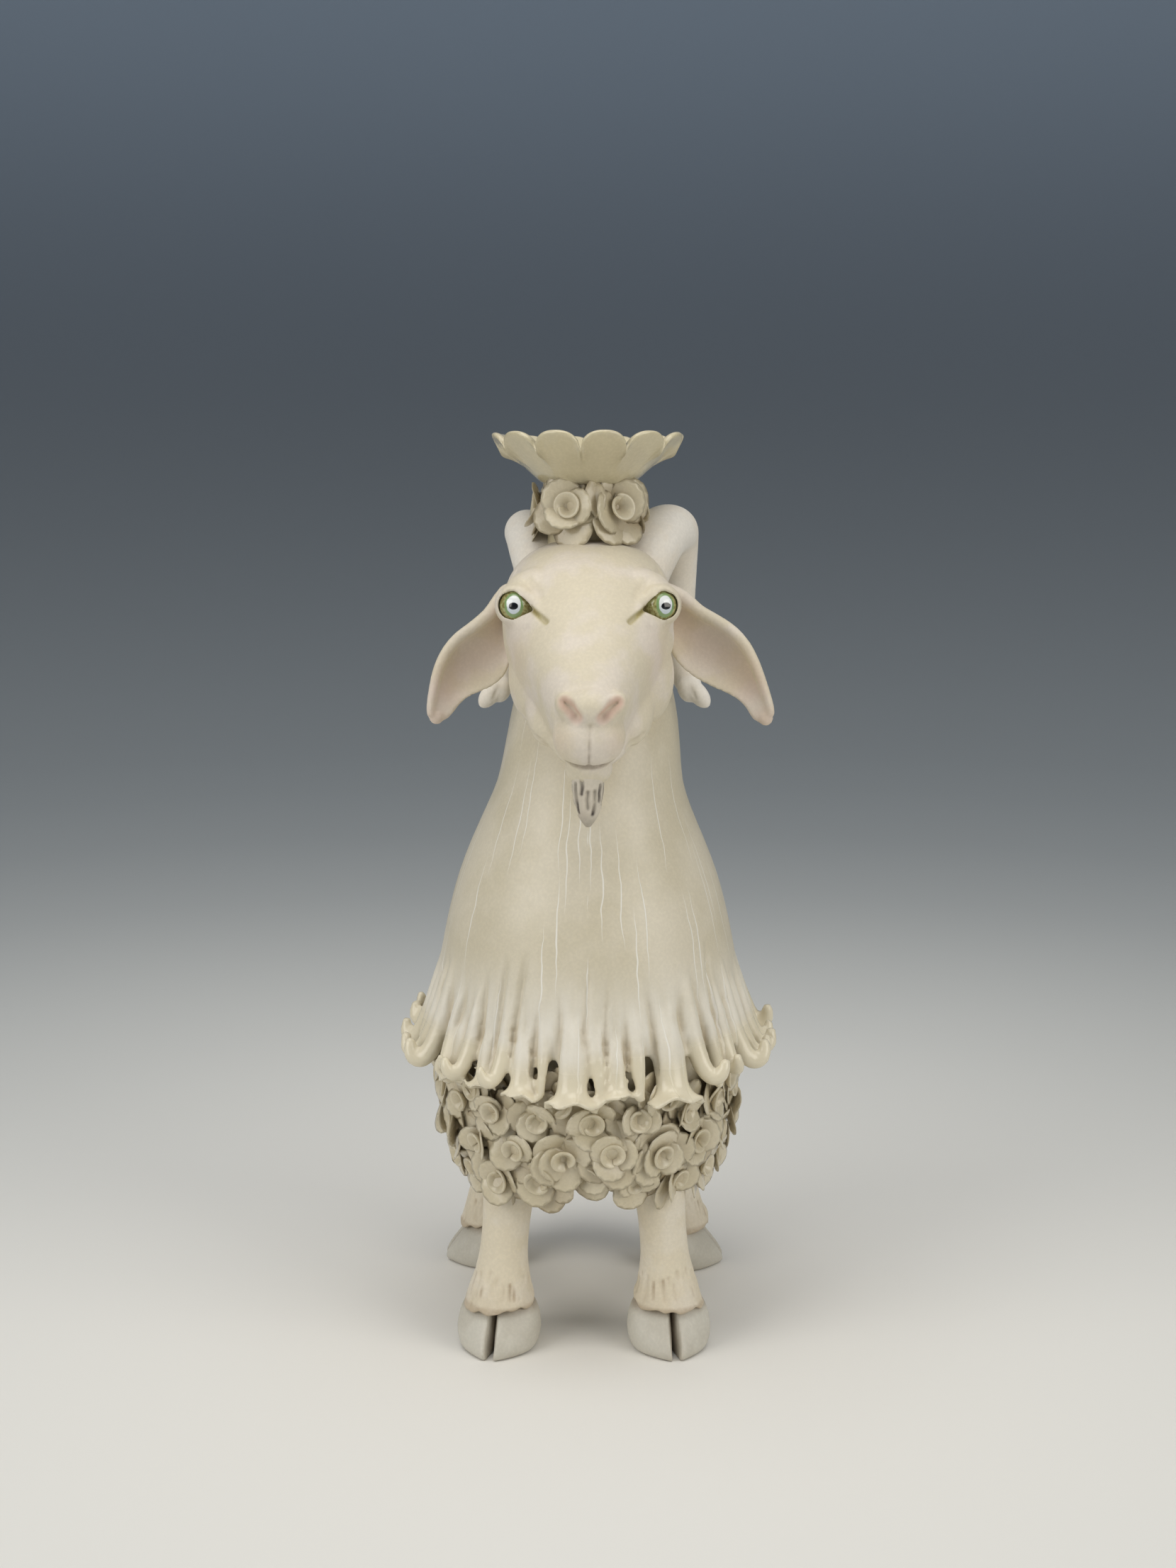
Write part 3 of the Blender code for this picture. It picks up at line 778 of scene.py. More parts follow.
@dataclass(frozen=True)
class EyeFinish:
    """A glazed eye: green round a pale iris, which is painted paler towards its top as a painted
    sheen, with a level black bar for a pupil.
    """

    name: str
    centre: tuple[float, float, float]
    heading: float  # degrees that the gaze turns away from straight ahead
    rise: float  # degrees that it looks up
    green: Colour = (0.40, 0.40, 0.17)
    moss: Colour = (0.24, 0.20, 0.06)
    iris: Colour = (0.60, 0.66, 0.72)

    def material(self) -> bpy.types.Material:
        """The finish as a material."""
        made, graph, shader = new_material(self.name)
        mapping = graph.node("ShaderNodeMapping", vector_type="TEXTURE")
        graph.join(graph.place(), mapping.inputs["Vector"])
        mapping.inputs["Location"].default_value = Vector(self.centre) * MM
        turn = Euler((math.radians(-self.rise), 0, math.radians(self.heading)))
        mapping.inputs["Rotation"].default_value = turn
        mapping.inputs["Scale"].default_value = (MM, MM, MM)
        parts = graph.node("ShaderNodeSeparateXYZ")
        graph.join(mapping.outputs[0], parts.inputs[0])
        wobble = graph.span(graph.noise(graph.place(), 420.0, 2), -0.35, 0.35)

        def oval(width: float, height: float, lift: float) -> bpy.types.NodeSocket:
            """How far out a point lies: 1 on the edge of an oval of those half sizes."""
            across = graph.math("DIVIDE", graph.math("ADD", parts.outputs[0], wobble), width)
            up = graph.math("DIVIDE", graph.math("SUBTRACT", parts.outputs[2], lift), height)
            squares = graph.math("POWER", across, 2.0), graph.math("POWER", up, 2.0)
            return graph.math("SQRT", graph.math("ADD", *squares))

        ahead = graph.soft(parts.outputs[1], 0.0, -1.0)
        mottle = graph.soft(graph.noise(graph.place(), 900.0, 4), 0.42, 0.6)
        glaze = graph.mix(mottle, self.green, self.moss)
        ring = graph.soft(oval(3.3, 4.3, 0.0), 1.06, 0.94)
        colour = graph.mix(ring, glaze, (0.22, 0.33, 0.13))
        inner = graph.soft(oval(2.5, 3.2, 0.1), 1.05, 0.93)
        # Painted sheen: the iris is painted paler towards its top.
        iris_with_painted_sheen = graph.mix(graph.soft(parts.outputs[2], -2.6, 1.6), self.iris, (0.80, 0.82, 0.82))
        colour = graph.mix(graph.math("MULTIPLY", inner, ahead), colour, iris_with_painted_sheen)
        pupil = graph.soft(oval(1.75, 1.25, -0.35), 1.05, 0.9)
        colour = graph.mix(graph.math("MULTIPLY", pupil, ahead), colour, (0.006, 0.007, 0.009))
        graph.join(colour, shader.inputs["Base Color"])
        rough = graph.span(mottle, 0.09, 0.2)
        graph.join(rough, shader.inputs["Roughness"])
        shader.inputs["Coat Weight"].default_value = 0.6
        shader.inputs["Coat Roughness"].default_value = 0.04
        return made


FACE = Finish(
    "matte face slip",
    colour=(0.67, 0.60, 0.46),
    tint=(0.72, 0.65, 0.57),
    roughness=0.56,
    patches=0.75,
    specks=0.03,
)
HORN = Finish(
    "white horn slip",
    colour=(0.80, 0.755, 0.68),
    tint=(0.78, 0.70, 0.58),
    roughness=0.55,
    patches=0.6,
)
MANTLE = MantleFinish(
    "combed mantle slip",
    colour=(0.60, 0.54, 0.405),
    tint=(0.67, 0.61, 0.485),
    roughness=0.38,
    patches=0.8,
    patch_scale=34.0,
    specks=0.075,
    crease=(0.36, 0.26, 0.14),
)
ROSE = Finish(
    "cream rose glaze",
    colour=(0.59, 0.52, 0.365),
    tint=(0.66, 0.59, 0.44),
    roughness=0.27,
    crease=(0.30, 0.22, 0.12),
    crease_shade_strength=0.75,
    patches=0.7,
    patch_scale=90.0,
    coat=0.3,
    bump=0.12,
)
DISH = Finish(
    "cream dish glaze",
    colour=(0.61, 0.54, 0.36),
    tint=(0.56, 0.49, 0.33),
    roughness=0.16,
    patches=0.6,
    coat=0.5,
    bump=0.2,
)
LEG = Finish(
    "matte leg slip",
    colour=(0.70, 0.625, 0.48),
    tint=(0.75, 0.69, 0.58),
    roughness=0.55,
    patches=0.8,
    wash=(0.30, 0.20, 0.11),
    crease=(0.33, 0.22, 0.11),
    crease_shade_strength=0.8,
)
HOOF = Finish(
    "pale hoof slip",
    colour=(0.52, 0.49, 0.415),
    tint=(0.59, 0.565, 0.49),
    roughness=0.46,
    patches=0.8,
    wash=(0.23, 0.15, 0.08),
    crease=(0.30, 0.20, 0.10),
    crease_shade_strength=0.9,
)
BEARD = Finish(
    "washed beard",
    colour=(0.62, 0.56, 0.46),
    tint=(0.46, 0.39, 0.31),
    roughness=0.6,
    wash=(0.045, 0.032, 0.025),
    crease=(0.05, 0.038, 0.03),
    crease_shade_strength=1.0,
)


# ---- head


@dataclass(frozen=True)
class Lump:
    """A ball of clay that fills out the head."""

    centre: Row
    radii: Row
    degrees: Row = (0, 0, 0)
    shift: float = 0.0  # how far a pair stands off the middle, to the goat's left

    def press_on(self, clay: Clay, side: Side = Side.LEFT) -> None:
        """Puts the ball on its own side, or on the other one, of the head."""
        s = side.value
        x, y, z = self.centre
        pitch, roll, heading = self.degrees
        clay.ball((s * x + self.shift, y, z), self.radii, (pitch, s * roll, s * heading))


@dataclass
class Head:
    """The head, with its brows, lids, nose, mouth and jaw."""

    grain: float = 0.62
    smoothing: int = 13
    eye_centre: tuple[float, float, float] = (24.4, -37.5, 269.5)
    eye_radius: float = 6.4
    eye_gap: float = 0.35  # between an eyeball and its socket
    opening_in: float = 7.7  # the lids' opening: its reach inwards, outwards, up and down
    opening_out: float = 5.4
    opening_up: float = 5.2
    opening_down: float = 4.5
    opening_heading: float = 24.0  # degrees that it faces outwards
    opening_depth: float = 16.0
    stations: Sequence[Row] = (  # y, z, slope, half width, top, bottom, squareness
        (23.5, 262, -8, 14, 12, 14, 2.0),
        (17.5, 264, -6, 23, 19, 27, 2.1),
        (7.5, 266.5, -3, 28, 23.5, 36, 2.2),
        (-4.5, 267, 2, 30.0, 24.6, 39, 2.25),
        (-16.5, 265.5, 9, 30.4, 25.5, 38.5, 2.25),
        (-28.5, 261, 20, 29.8, 24.5, 36, 2.2),
        (-41.5, 254, 30, 26.0, 20.5, 30, 2.25),
        (-53.5, 245.5, 36, 19.8, 17, 26, 2.3),
        (-63.5, 237.5, 39, 14.6, 14.3, 22.5, 2.3),
        (-70.0, 231.8, 40, 11.4, 11.2, 16.0, 2.2),
    )
    bridge: Lump = Lump((1.0, -73.6, 237.6), (10.6, 8.4, 7.4), (-25, 0, 0))
    lips: Lump = Lump((0.4, -70.6, 228.6), (12.4, 9.8, 11.2), (-15, 0, 0))
    chin: Lump = Lump((0.2, -66.6, 217.4), (8.2, 7.2, 6.9), (-20, 0, 0))
    throat: Lump = Lump((0.6, -46.0, 228.0), (15.5, 22.0, 8.6), (27, 0, 0))
    brow: Lump = Lump((20.6, -33.0, 276.6), (9.2, 7.4, 4.8), (18, 24, 0))
    nostril_wing: Lump = Lump((8.2, -74.0, 239.4), (3.8, 5.6, 4.6), (-25, 20, 0), 1.0)
    cheek: Lump = Lump((18.4, -26.0, 243.5), (10.9, 17.5, 17.0), (28, 0, -8), 1.2)
    temple: Lump = Lump((20.0, -28.0, 258.0), (9.8, 15.0, 12.0), (20, 0, 0), 0.6)
    jaw: Lump = Lump((13.2, -38.0, 235.0), (9.4, 19.5, 10.0), (32, 0, 0), 0.6)

    def skull(self) -> bmesh.types.BMesh:
        """The head's main mass, from the nape to the lips."""
        rings = []
        for y, z, slope, half_width, top, bottom, squareness in flow(self.stations, 3):
            lean = math.radians(slope)
            up = Vector((0, -math.sin(lean), math.cos(lean)))
            centre = Vector((0, y, z))
            rings.append(
                Ring(centre, half_width, top, bottom, up=up, squareness=squareness).point
            )
        return loft(rings, 44)

    def lids(self, clay: Clay, side: Side) -> None:
        """A rounded lump for an eye, opened by an almond that narrows inwards."""
        x, y, z = self.eye_centre
        centre = Vector((side.value * x, y, z))
        clay.ball(centre + Vector((side.value * -0.4, 0.6, 0.2)), (8.5, 8.3, 8.1))
        socket = bmesh.new()
        bmesh.ops.create_uvsphere(
            socket,
            u_segments=32,
            v_segments=20,
            radius=self.eye_radius + self.eye_gap,
            matrix=Matrix.Translation(centre),
        )
        clay.holes.append(socket)
        almond = bmesh.new()
        rim = bmesh.ops.create_circle(almond, segments=36, radius=1, cap_ends=True)["verts"]
        for vert in rim:
            turn = math.atan2(vert.co.y, vert.co.x)
            inwards = -math.cos(turn)
            width = self.opening_in if inwards > 0 else self.opening_out
            height = self.opening_up if math.sin(turn) > 0 else self.opening_down
            narrowing = 1 - 0.68 * max(0.0, inwards) ** 1.2
            droop = -1.5 * max(0.0, inwards) ** 2
            vert.co = (
                -side.value * width * inwards,
                -self.opening_depth,
                height * math.sin(turn) * narrowing + droop,
            )
        made = bmesh.ops.extrude_face_region(almond, geom=almond.faces[:])["geom"]
        moved = [g for g in made if isinstance(g, bmesh.types.BMVert)]
        bmesh.ops.translate(almond, vec=(0, self.opening_depth, 0), verts=moved)
        facing = Matrix.Rotation(side.value * math.radians(self.opening_heading), 4, "Z")
        offset = Vector((side.value * -0.6, 0, 0.3))
        place = Matrix.Translation(centre + offset) @ facing
        bmesh.ops.transform(almond, matrix=place, verts=almond.verts)
        bmesh.ops.recalc_face_normals(almond, faces=almond.faces)
        clay.holes.append(almond)

    def features(self, clay: Clay) -> None:
        """Lumps for the nose, lips, chin, throat, brows, cheeks and jaw."""
        for lump in (self.bridge, self.lips, self.chin, self.throat):
            lump.press_on(clay)
        for side in Side:
            for lump in (self.brow, self.nostril_wing, self.cheek, self.temple, self.jaw):
                lump.press_on(clay, side)

    def sculpt(self, skin: Surface) -> None:
        """Nostrils, mouth, philtrum, lids, slits of the eyes and hollows of the face, with painted
        shade in its creases.
        """
        nostrils = (  # x and z of each, from its outer end
            ((-7.9, 240.9), (-6.0, 238.4), (-4.3, 235.9)),
            ((9.9, 240.9), (7.8, 238.4), (5.4, 235.8)),
        )
        for rough_path in nostrils:
            nostril = skin.seen(rough_path)
            skin.press(skin.along(nostril, 3.2), 2.6)
            skin.press(skin.along(nostril[-1:] * 2, 2.6), 1.6)
            skin.stain("blush", 0.95 * skin.along(nostril, 3.8))
            skin.stain("wash", 0.8 * skin.along(nostril[-1:] * 2, 2.4))
        for side in Side:
            s = side.value
            self.shape_lids(skin, s)
            skin.press(skin.near((s * 15.5, -52.5, 259.0), 11), 0.6)
            skin.press(skin.near((s * 12.5, -45.0, 273.0), 9), 0.4)
            skin.stain("blush", 0.10 * skin.near((s * 22, -44, 253), 17))
            skin.stain("blush", 0.12 * skin.near((s * 9, -76, 228), 9))
            crease = skin.seen([(s * 19.2, 226.6), (s * 16.2, 224.6), (s * 13.2, 222.2)])
            skin.press(skin.along(crease, 1.8), 0.9)
            skin.stain("wash", 0.25 * skin.along(crease, 1.2))
        philtrum = skin.seen([(0.7, 233.0), (0.5, 229.0), (0.4, 224.0), (0.3, 219.0)])
        skin.press(skin.along(philtrum, 1.2), 0.7)
        skin.stain("wash", 0.55 * skin.along(philtrum[1:], 0.8))
        mouth = skin.seen(
            [(-6.6, 219.9), (-3.2, 218.9), (0.2, 218.6), (4.0, 218.9), (7.8, 220.1)]
        )
        skin.press(skin.along(mouth, 1.6), 2.0)
        skin.stain("wash", skin.along(mouth, 2.0) * 1.6)
        # Painted shade in the face's creases.
        skin.stain("hollow", skin.hollows(3, 1.6) * 0.5)

    def shape_lids(self, skin: Surface, s: int) -> None:
        """A raised rim round an eye, and the slit that runs in and down from it."""
        x, _, z = self.eye_centre
        rim = []
        for step in range(25):
            turn = step / 24 * TURN
            out = math.cos(turn)
            width = 6.8 if out > 0 else 7.4
            droop = -1.6 * max(0.0, -out) ** 2
            rim.append((s * (x + 0.4 + width * out), z + 0.3 + 6.3 * math.sin(turn) + droop))
        lid = skin.seen([at for at in rim if abs(at[0]) < x + 4.5])
        skin.press(skin.along(lid[:12], 2.6), -0.45)
        skin.press(skin.along(lid[12:], 2.4), -0.2)
        slit = skin.seen([(s * 19.4, 269.2), (s * 17.2, 267.5), (s * 14.3, 265.4)])
        skin.press(skin.along(slit, 1.5), 1.0)
        skin.stain("moss", skin.along(slit, 1.7) * 1.2)
        skin.stain("wash", 0.45 * skin.along(slit[:2], 1.2))
        hood = skin.seen([(s * 16.6, 273.6), (s * 20.5, 278.4), (s * 25.5, 280.2)])
        skin.press(skin.along(hood, 2.6), 0.5)

    def build(self) -> None:
        """Fuses, sculpts and finishes the head."""
        clay = Clay().add(self.skull())
        self.features(clay)
        for side in Side:
            self.lids(clay, side)
        skin = clay.fuse(self.grain, self.smoothing)
        self.sculpt(skin)
        piece("clay_head", skin.finish(), FACE.material(), ["head"])

    def build_eyes(self) -> None:
        """The two glazed balls, which look ahead and a little outwards."""
        for side in Side:
            x, y, z = self.eye_centre
            centre = (side.value * x, y, z)
            bm = bmesh.new()
            bmesh.ops.create_uvsphere(
                bm,
                u_segments=48,
                v_segments=32,
                radius=self.eye_radius,
                matrix=Matrix.Translation(centre),
            )
            outwards = 23 if side is Side.LEFT else 11
            finish = EyeFinish(f"{side.word} eye glaze", centre, side.value * outwards, 6)
            mesh = mesh_in_metres(bm, "eye")
            piece(f"glazed_{side.word}_eye", mesh, finish.material(),
                  [f"{side.word}_eye"])


@dataclass
class Ears:
    """Two drooping ears, dished towards the front, each formed a little differently."""

    grain: float = 0.6
    left: Sequence[Row] = (  # upper edge x and z, lower edge x and z, y, bow
        (27.0, 274.6, 26.0, 262.0, -10.0, 0.8),
        (33.5, 272.0, 29.5, 251.5, -12.0, 3.0),
        (39.4, 267.0, 33.5, 245.8, -14.0, 5.4),
        (45.9, 263.4, 38.6, 241.8, -15.6, 6.2),
        (51.3, 259.9, 44.5, 238.8, -17.0, 6.0),
        (55.9, 254.9, 49.8, 236.6, -18.2, 5.2),
        (59.4, 248.4, 53.8, 234.3, -19.0, 3.8),
        (62.4, 240.4, 56.6, 231.4, -19.5, 2.2),
        (64.6, 233.5, 58.9, 227.8, -19.6, 1.0),
        (65.2, 229.2, 61.6, 226.2, -19.5, 0.4),
    )
    right: Sequence[Row] = (
        (-25.0, 275.6, -24.5, 262.0, -10.0, 0.8),
        (-30.2, 272.6, -27.0, 252.0, -12.0, 3.2),
        (-35.2, 266.0, -29.5, 243.5, -14.0, 5.6),
        (-40.7, 261.4, -34.0, 239.2, -15.6, 6.2),
        (-46.1, 257.5, -38.8, 237.0, -17.0, 5.8),
        (-50.3, 252.6, -43.0, 235.2, -18.2, 4.8),
        (-53.2, 246.6, -46.2, 232.4, -19.0, 3.4),
        (-55.0, 239.4, -48.2, 229.8, -19.4, 2.0),
        (-56.0, 232.6, -50.4, 227.7, -19.6, 0.9),
        (-55.6, 229.4, -52.6, 227.0, -19.5, 0.4),
    )

    def leaf(self, stations: Sequence[Row]) -> bmesh.types.BMesh:
        """The ear's leaf, whose upper edge is thick and rolled over."""
        rings = []
        for top_x, top_z, low_x, low_z, y, bow in flow(stations, 4):
            top, low = Vector((top_x, y - 1.5, top_z)), Vector((low_x, y, low_z))
            across = top - low
            half_width = across.length / 2
            facing = Vector((math.copysign(0.32, top_x), -0.95, -0.06)).normalized()
            thick = min(1.7, 0.25 * half_width + 0.8)
            rings.append(
                Ring(
                    (top + low) / 2,
                    half_width,
                    thick,
                    thick,
                    across.normalized(),
                    facing,
                    2.5,
                    bow,
                ).point
            )
        return loft(rings, 36)

    def build(self) -> None:
        """Forms both ears, with blush in their hollows."""
        for side, stations in ((Side.LEFT, self.left), (Side.RIGHT, self.right)):
            s = side.value
            clay = Clay().add(self.leaf(stations))
            clay.ball((s * 27.0, -13.5, 268.5), (6.0, 4.2, 7.4), (0, s * 20, 0))
            rows = flow(stations, 4)
            thick = np.linspace(2.7, 1.5, len(rows))
            roll = [(x, y - 1.6, z - 1.0, r) for (x, z), y, r in zip(rows[:, :2], rows[:, 4], thick)]
            clay.add(tube(roll[:-1], 12))
            top_x, top_z, low_x, low_z, y, _ = stations[-1]
            clay.ball(((top_x + low_x) / 2, y - 0.8, (top_z + low_z) / 2 + 0.3), (2.7, 1.7, 2.7))
            skin = clay.fuse(self.grain, 5)
            middle = (rows[:, :2] + rows[:, 2:4]) / 2
            path = [(x, y - 2, z) for (x, z), y in zip(middle, rows[:, 4])]
            ahead = smooth_step(-skin.normals[:, 1], 0.2, 0.8)
            skin.stain("blush", 0.3 * skin.along(path[4:26], 12) * ahead)
            skin.stain("blush", 0.25 * skin.near(path[-1], 9))
            piece(f"clay_{side.word}_ear", skin.finish(), FACE.material(),
                  [f"{side.word}_ear"])


@dataclass
class Horns:
    """Two horns that curl back, down and forwards, and end in a cloven tip."""

    grain: float = 0.7
    left: Sequence[Row] = (  # x, y, z, radius
        (15.0, -2.0, 272.0, 11.6),
        (20.6, 1.0, 284.0, 11.4),
        (26.4, 7.0, 291.8, 10.4),
        (31.2, 15.5, 293.2, 9.2),
        (33.2, 25.5, 289.8, 8.1),
        (33.8, 33.5, 279.5, 7.4),
        (33.8, 36.6, 266.0, 6.9),
        (34.0, 34.5, 252.5, 6.2),
        (35.4, 28.0, 242.0, 5.6),
        (37.4, 21.5, 236.6, 5.0),
        (38.6, 17.6, 234.6, 4.2),
    )
    right: Sequence[Row] = (
        (-13.0, -1.5, 272.0, 10.6),
        (-17.4, 2.5, 283.0, 10.2),
        (-20.8, 10.5, 290.6, 9.2),
        (-22.8, 20.5, 292.2, 8.2),
        (-22.6, 29.5, 287.8, 7.2),
        (-21.6, 35.5, 277.0, 6.6),
        (-22.6, 37.0, 264.0, 6.1),
        (-26.4, 34.5, 251.5, 5.7),
        (-31.0, 28.0, 242.0, 5.2),
        (-33.0, 21.5, 236.6, 4.6),
        (-33.8, 17.6, 234.6, 3.9),
    )
    lobes: Sequence[Row] = (  # offset from the tip, radii, tilt in degrees
        (2.6, -0.6, -2.2, 3.6, 3.2, 6.4, -38),
        (-1.6, 0.4, -0.6, 3.6, 3.3, 5.2, -20),
    )

    def build(self) -> None:
        """Forms both horns."""
        for side, stations in ((Side.LEFT, self.left), (Side.RIGHT, self.right)):
            s = side.value
            clay = Clay().add(tube(flow(stations, 4), 28))
            tip = Vector(stations[-1][:3])
            for x, y, z, wide, deep, high, tilt in self.lobes:
                place = tip + Vector((s * x, y, z))
                clay.ball(place, (wide, deep, high), (0, s * tilt, 0))
            skin = clay.fuse(self.grain, 4)
            cleft = [tip + Vector((s * -2.2, -4.4, 5.0)), tip + Vector((s * 1.4, -4.2, -5.0))]
            skin.press(skin.along(cleft, 1.6), 1.2)
            skin.stain("wash", 0.5 * skin.along(cleft, 1.2))
            # Painted shade in the horn's creases.
            skin.stain("hollow", skin.hollows(3, 1.4) * 0.6)
            piece(f"clay_{side.word}_horn", skin.finish(), HORN.material(),
                  [f"{side.word}_horn"])


@dataclass
class Beard:
    """The tuft under the chin, scored with a knife and washed dark."""

    grain: float = 0.42
    centre_y: float = -68.6
    score_count: int = 13
    score_step: float = 0.46  # radians between two scores
    rows: Sequence[Row] = (  # height, half width, front, back
        (216.5, 4.8, 4.0, 3.6),
        (212.0, 5.6, 4.4, 3.8),
        (207.5, 5.2, 4.2, 3.8),
        (203.0, 4.2, 3.5, 3.1),
        (199.8, 2.6, 2.3, 2.1),
        (197.4, 0.9, 0.8, 0.8),
    )

    def build(self) -> None:
        """Forms the tuft and scores it."""
        rings = [level_ring(*row, self.centre_y).point for row in flow(self.rows, 3)]
        skin = Clay().add(loft(rings, 28)).fuse(self.grain, 3)
        scores = random.Random(7)
        for number in range(self.score_count):
            turn = FRONT + (number - self.score_count // 2) * self.score_step
            x = 5.4 * math.cos(turn)
            y = self.centre_y + 4.4 * math.sin(turn)
            high = scores.uniform(209, 214.5)
            low = high - scores.uniform(5, 10)
            lean = scores.uniform(-0.7, 0.7)
            pinch = 0.62 if low < 203 else 0.86
            path = [
                (x, y, high),
                (0.97 * x + lean, self.centre_y + (y - self.centre_y) * 0.97, (high + low) / 2),
                (pinch * x, self.centre_y + (y - self.centre_y) * pinch, low),
            ]
            skin.press(skin.along(path, 1.1), 1.0)
            skin.stain("wash", scores.uniform(1.0, 1.5) * skin.along(path, 1.05))
        skin.stain("wash", 0.35 * smooth_step(skin.points[:, 2], 203, 198))
        # Painted shade in the tuft's creases, between its scores.
        skin.stain("hollow", skin.hollows(2, 2.2))
        piece("clay_beard", skin.finish(), BEARD.material(), ["beard"])


# ---- mantle


@dataclass
class Lock:
    """A lock of hair at the mantle's hem."""

    heading: float  # degrees from straight ahead, towards the goat's left
    end: LockEnd
    size: float = 1.0
    lean: float = 0.0  # which way round its tip swings, and how far


@dataclass
class Mantle:
    """Neck, chest and skirt of hair in one hollow form, ending in locks."""

    grain: float = 1.08
    middle_y: float = -4 + ORIGIN_SHIFT_Y
    back_rise: float = 16.0
    edge_taper: tuple[float, float] = (0.7, 2.0)  # how far the last two outlines draw in
    recess_depth: float = 9.0
    recess_inset: tuple[float, float] = (4.0, 7.0)  # of the recess's mouth and of its roof
    rear_count: int = 25
    rear_from: float = 78.0  # degrees from straight ahead to the first and the last rear lock
    rear_to: float = 281.0
    rows: Sequence[Row] = (  # height, half width, front, back, rise at the back, tilt, aside
        (246.0, 26.5, 25, 26, 0, 6, 2.4),
        (236.0, 28.6, 29, 28, 0, 6, 2.4),
        (226.0, 30.6, 34, 29, 0, 4, 2.2),
        (214.5, 32.2, 38, 31, 0, 2, 1.6),
        (203.0, 34.0, 41, 34, 0, 0, 0.8),
        (193.0, 37.6, 44.5, 37, 0, 0, 0.2),
        (181.0, 42.8, 48, 40.5, 0, 0, 0),
        (169.0, 47.4, 52, 44, 1, 0, 0),
        (157.0, 50.8, 55.5, 47.5, 4, 0, 0),
        (145.0, 53.4, 58, 50.5, 8, 0, 0),
        (132.0, 55.8, 60.5, 54, 10, 0, 0),
        (122.0, 57.6, 62.3, 56, 13, 0, 0),
        (114.0, 59.2, 63.6, 58, 16, 0, 0),
        (107.0, 60.2, 64.4, 58.8, 16, 0, 0),
    )
    hook: Sequence[Row] = (  # height above the hem, way out, way aside, radius
        (38, -2.6, 0, 1.6),
        (26, -1.8, 0, 3.0),
        (14, -0.8, 0, 3.7),
        (6, 0.8, 0.4, 3.6),
        (0.6, 3.0, 1.4, 3.2),
        (-2.0, 5.8, 3.2, 2.8),
        (-0.4, 8.2, 5.2, 2.4),
        (3.4, 8.6, 6.6, 2.0),
    )
    drop: Sequence[Row] = (
        (36, -2.4, 0, 1.6),
        (24, -1.8, 0, 3.0),
        (13, -0.6, 0, 3.5),
        (5, 0.6, 0.3, 3.1),
        (-0.5, 1.4, 0.8, 2.6),
        (-4.6, 2.0, 1.2, 2.3),
        (-7.4, 2.2, 1.4, 2.3),
    )
    bell_rows: Sequence[Row] = (  # height above the hem, way out, width, depth, ruffle
        (32, -4.4, 2.0, 1.5, 0),
        (20, -3.0, 4.4, 3.2, 0),
        (9, -1.6, 5.2, 4.2, 0),
        (0, -0.2, 4.8, 4.2, 0),
        (-3.4, 0.8, 5.2, 4.6, 0.2),
        (-5.6, 1.8, 6.8, 5.8, 0.8),
        (-6.8, 2.6, 8.9, 7.2, 1.5),
        (-8.0, 2.6, 8.7, 7.0, 1.5),
        (-7.4, 2.2, 6.0, 5.0, 0.8),
        (-4.4, 1.0, 3.4, 2.8, 0.1),
        (0, 0.0, 2.2, 1.8, 0),
    )
    partings: Sequence[Row] = (  # share of the way to the next lock, height, depth
        (0.5, 34, 1.5),
        (0.05, 27, 0.7),
        (0.3, 20, 0.5),
    )
    front_locks: Sequence[tuple[float, LockEnd, float, float]] = (
        (-71, LockEnd.HOOK, 1.0, -0.9),
        (-64, LockEnd.HOOK, 1.1, -0.7),
        (-55, LockEnd.HOOK, 0.85, 0.9),
        (-49.5, LockEnd.BELL, 0.8, -0.6),
        (-44, LockEnd.HOOK, 0.9, -0.8),
        (-37, LockEnd.BELL, 0.72, -0.4),
        (-29.5, LockEnd.HOOK, 0.85, -0.9),
        (-22.5, LockEnd.BELL, 0.85, 0.2),
        (-15, LockEnd.DROP, 0.62, -0.3),
        (-5.2, LockEnd.BELL, 1.1, 0.1),
        (3.3, LockEnd.DROP, 0.7, 0.3),
        (9.4, LockEnd.BELL, 0.78, -0.5),
        (17, LockEnd.DROP, 0.8, 0.0),
        (29, LockEnd.BELL, 1.22, 0.2),
        (39.5, LockEnd.HOOK, 1.0, 0.9),
        (48, LockEnd.DROP, 0.85, 0.5),
        (55, LockEnd.HOOK, 0.9, -0.7),
        (62, LockEnd.HOOK, 1.1, 0.8),
        (70, LockEnd.HOOK, 0.9, 0.9),
    )

    def locks(self) -> list[Lock]:
        """Every lock round the hem: the front ones, then the rest at even steps."""
        chance = random.Random(11)
        made = [Lock(*row) for row in self.front_locks]
        ends = (LockEnd.HOOK, LockEnd.HOOK, LockEnd.BELL, LockEnd.HOOK, LockEnd.DROP)
        round_it = self.rear_to - self.rear_from
        for number in range(self.rear_count):
            step = number * round_it / (self.rear_count - 1)
            heading = self.rear_from + step + chance.uniform(-1.2, 1.2)
            size = chance.uniform(0.85, 1.1)
            lean = chance.choice((-1, 1)) * chance.uniform(0.3, 0.9)
            made.append(Lock(heading, ends[number % len(ends)], size, lean))
        return made

    def lift(self, turn: float, rise: float, tilt: float) -> float:
        """How far the outline is raised at that turn."""
        back = max(0.0, math.sin(turn))
        return rise * back * back * (3 - 2 * back) + tilt * math.sin(turn)

    def outline(self, row: Row, shrink: float = 0.0) -> Callable[[float], Vector]:
        """One level outline of the mantle.

        Args:
            row: A row as in rows.
            shrink: How far inside the skin it lies.

        Returns:
            A function from a turn to the outline's point.
        """
        z, half_width, front, back, rise, tilt, aside = (float(value) for value in row)
        ring = level_ring(z, half_width - shrink, front - shrink, back - shrink, self.middle_y)
        ring.centre.x = aside
        return lambda turn: ring.point(turn) + Vector((0, 0, self.lift(turn, rise, tilt)))

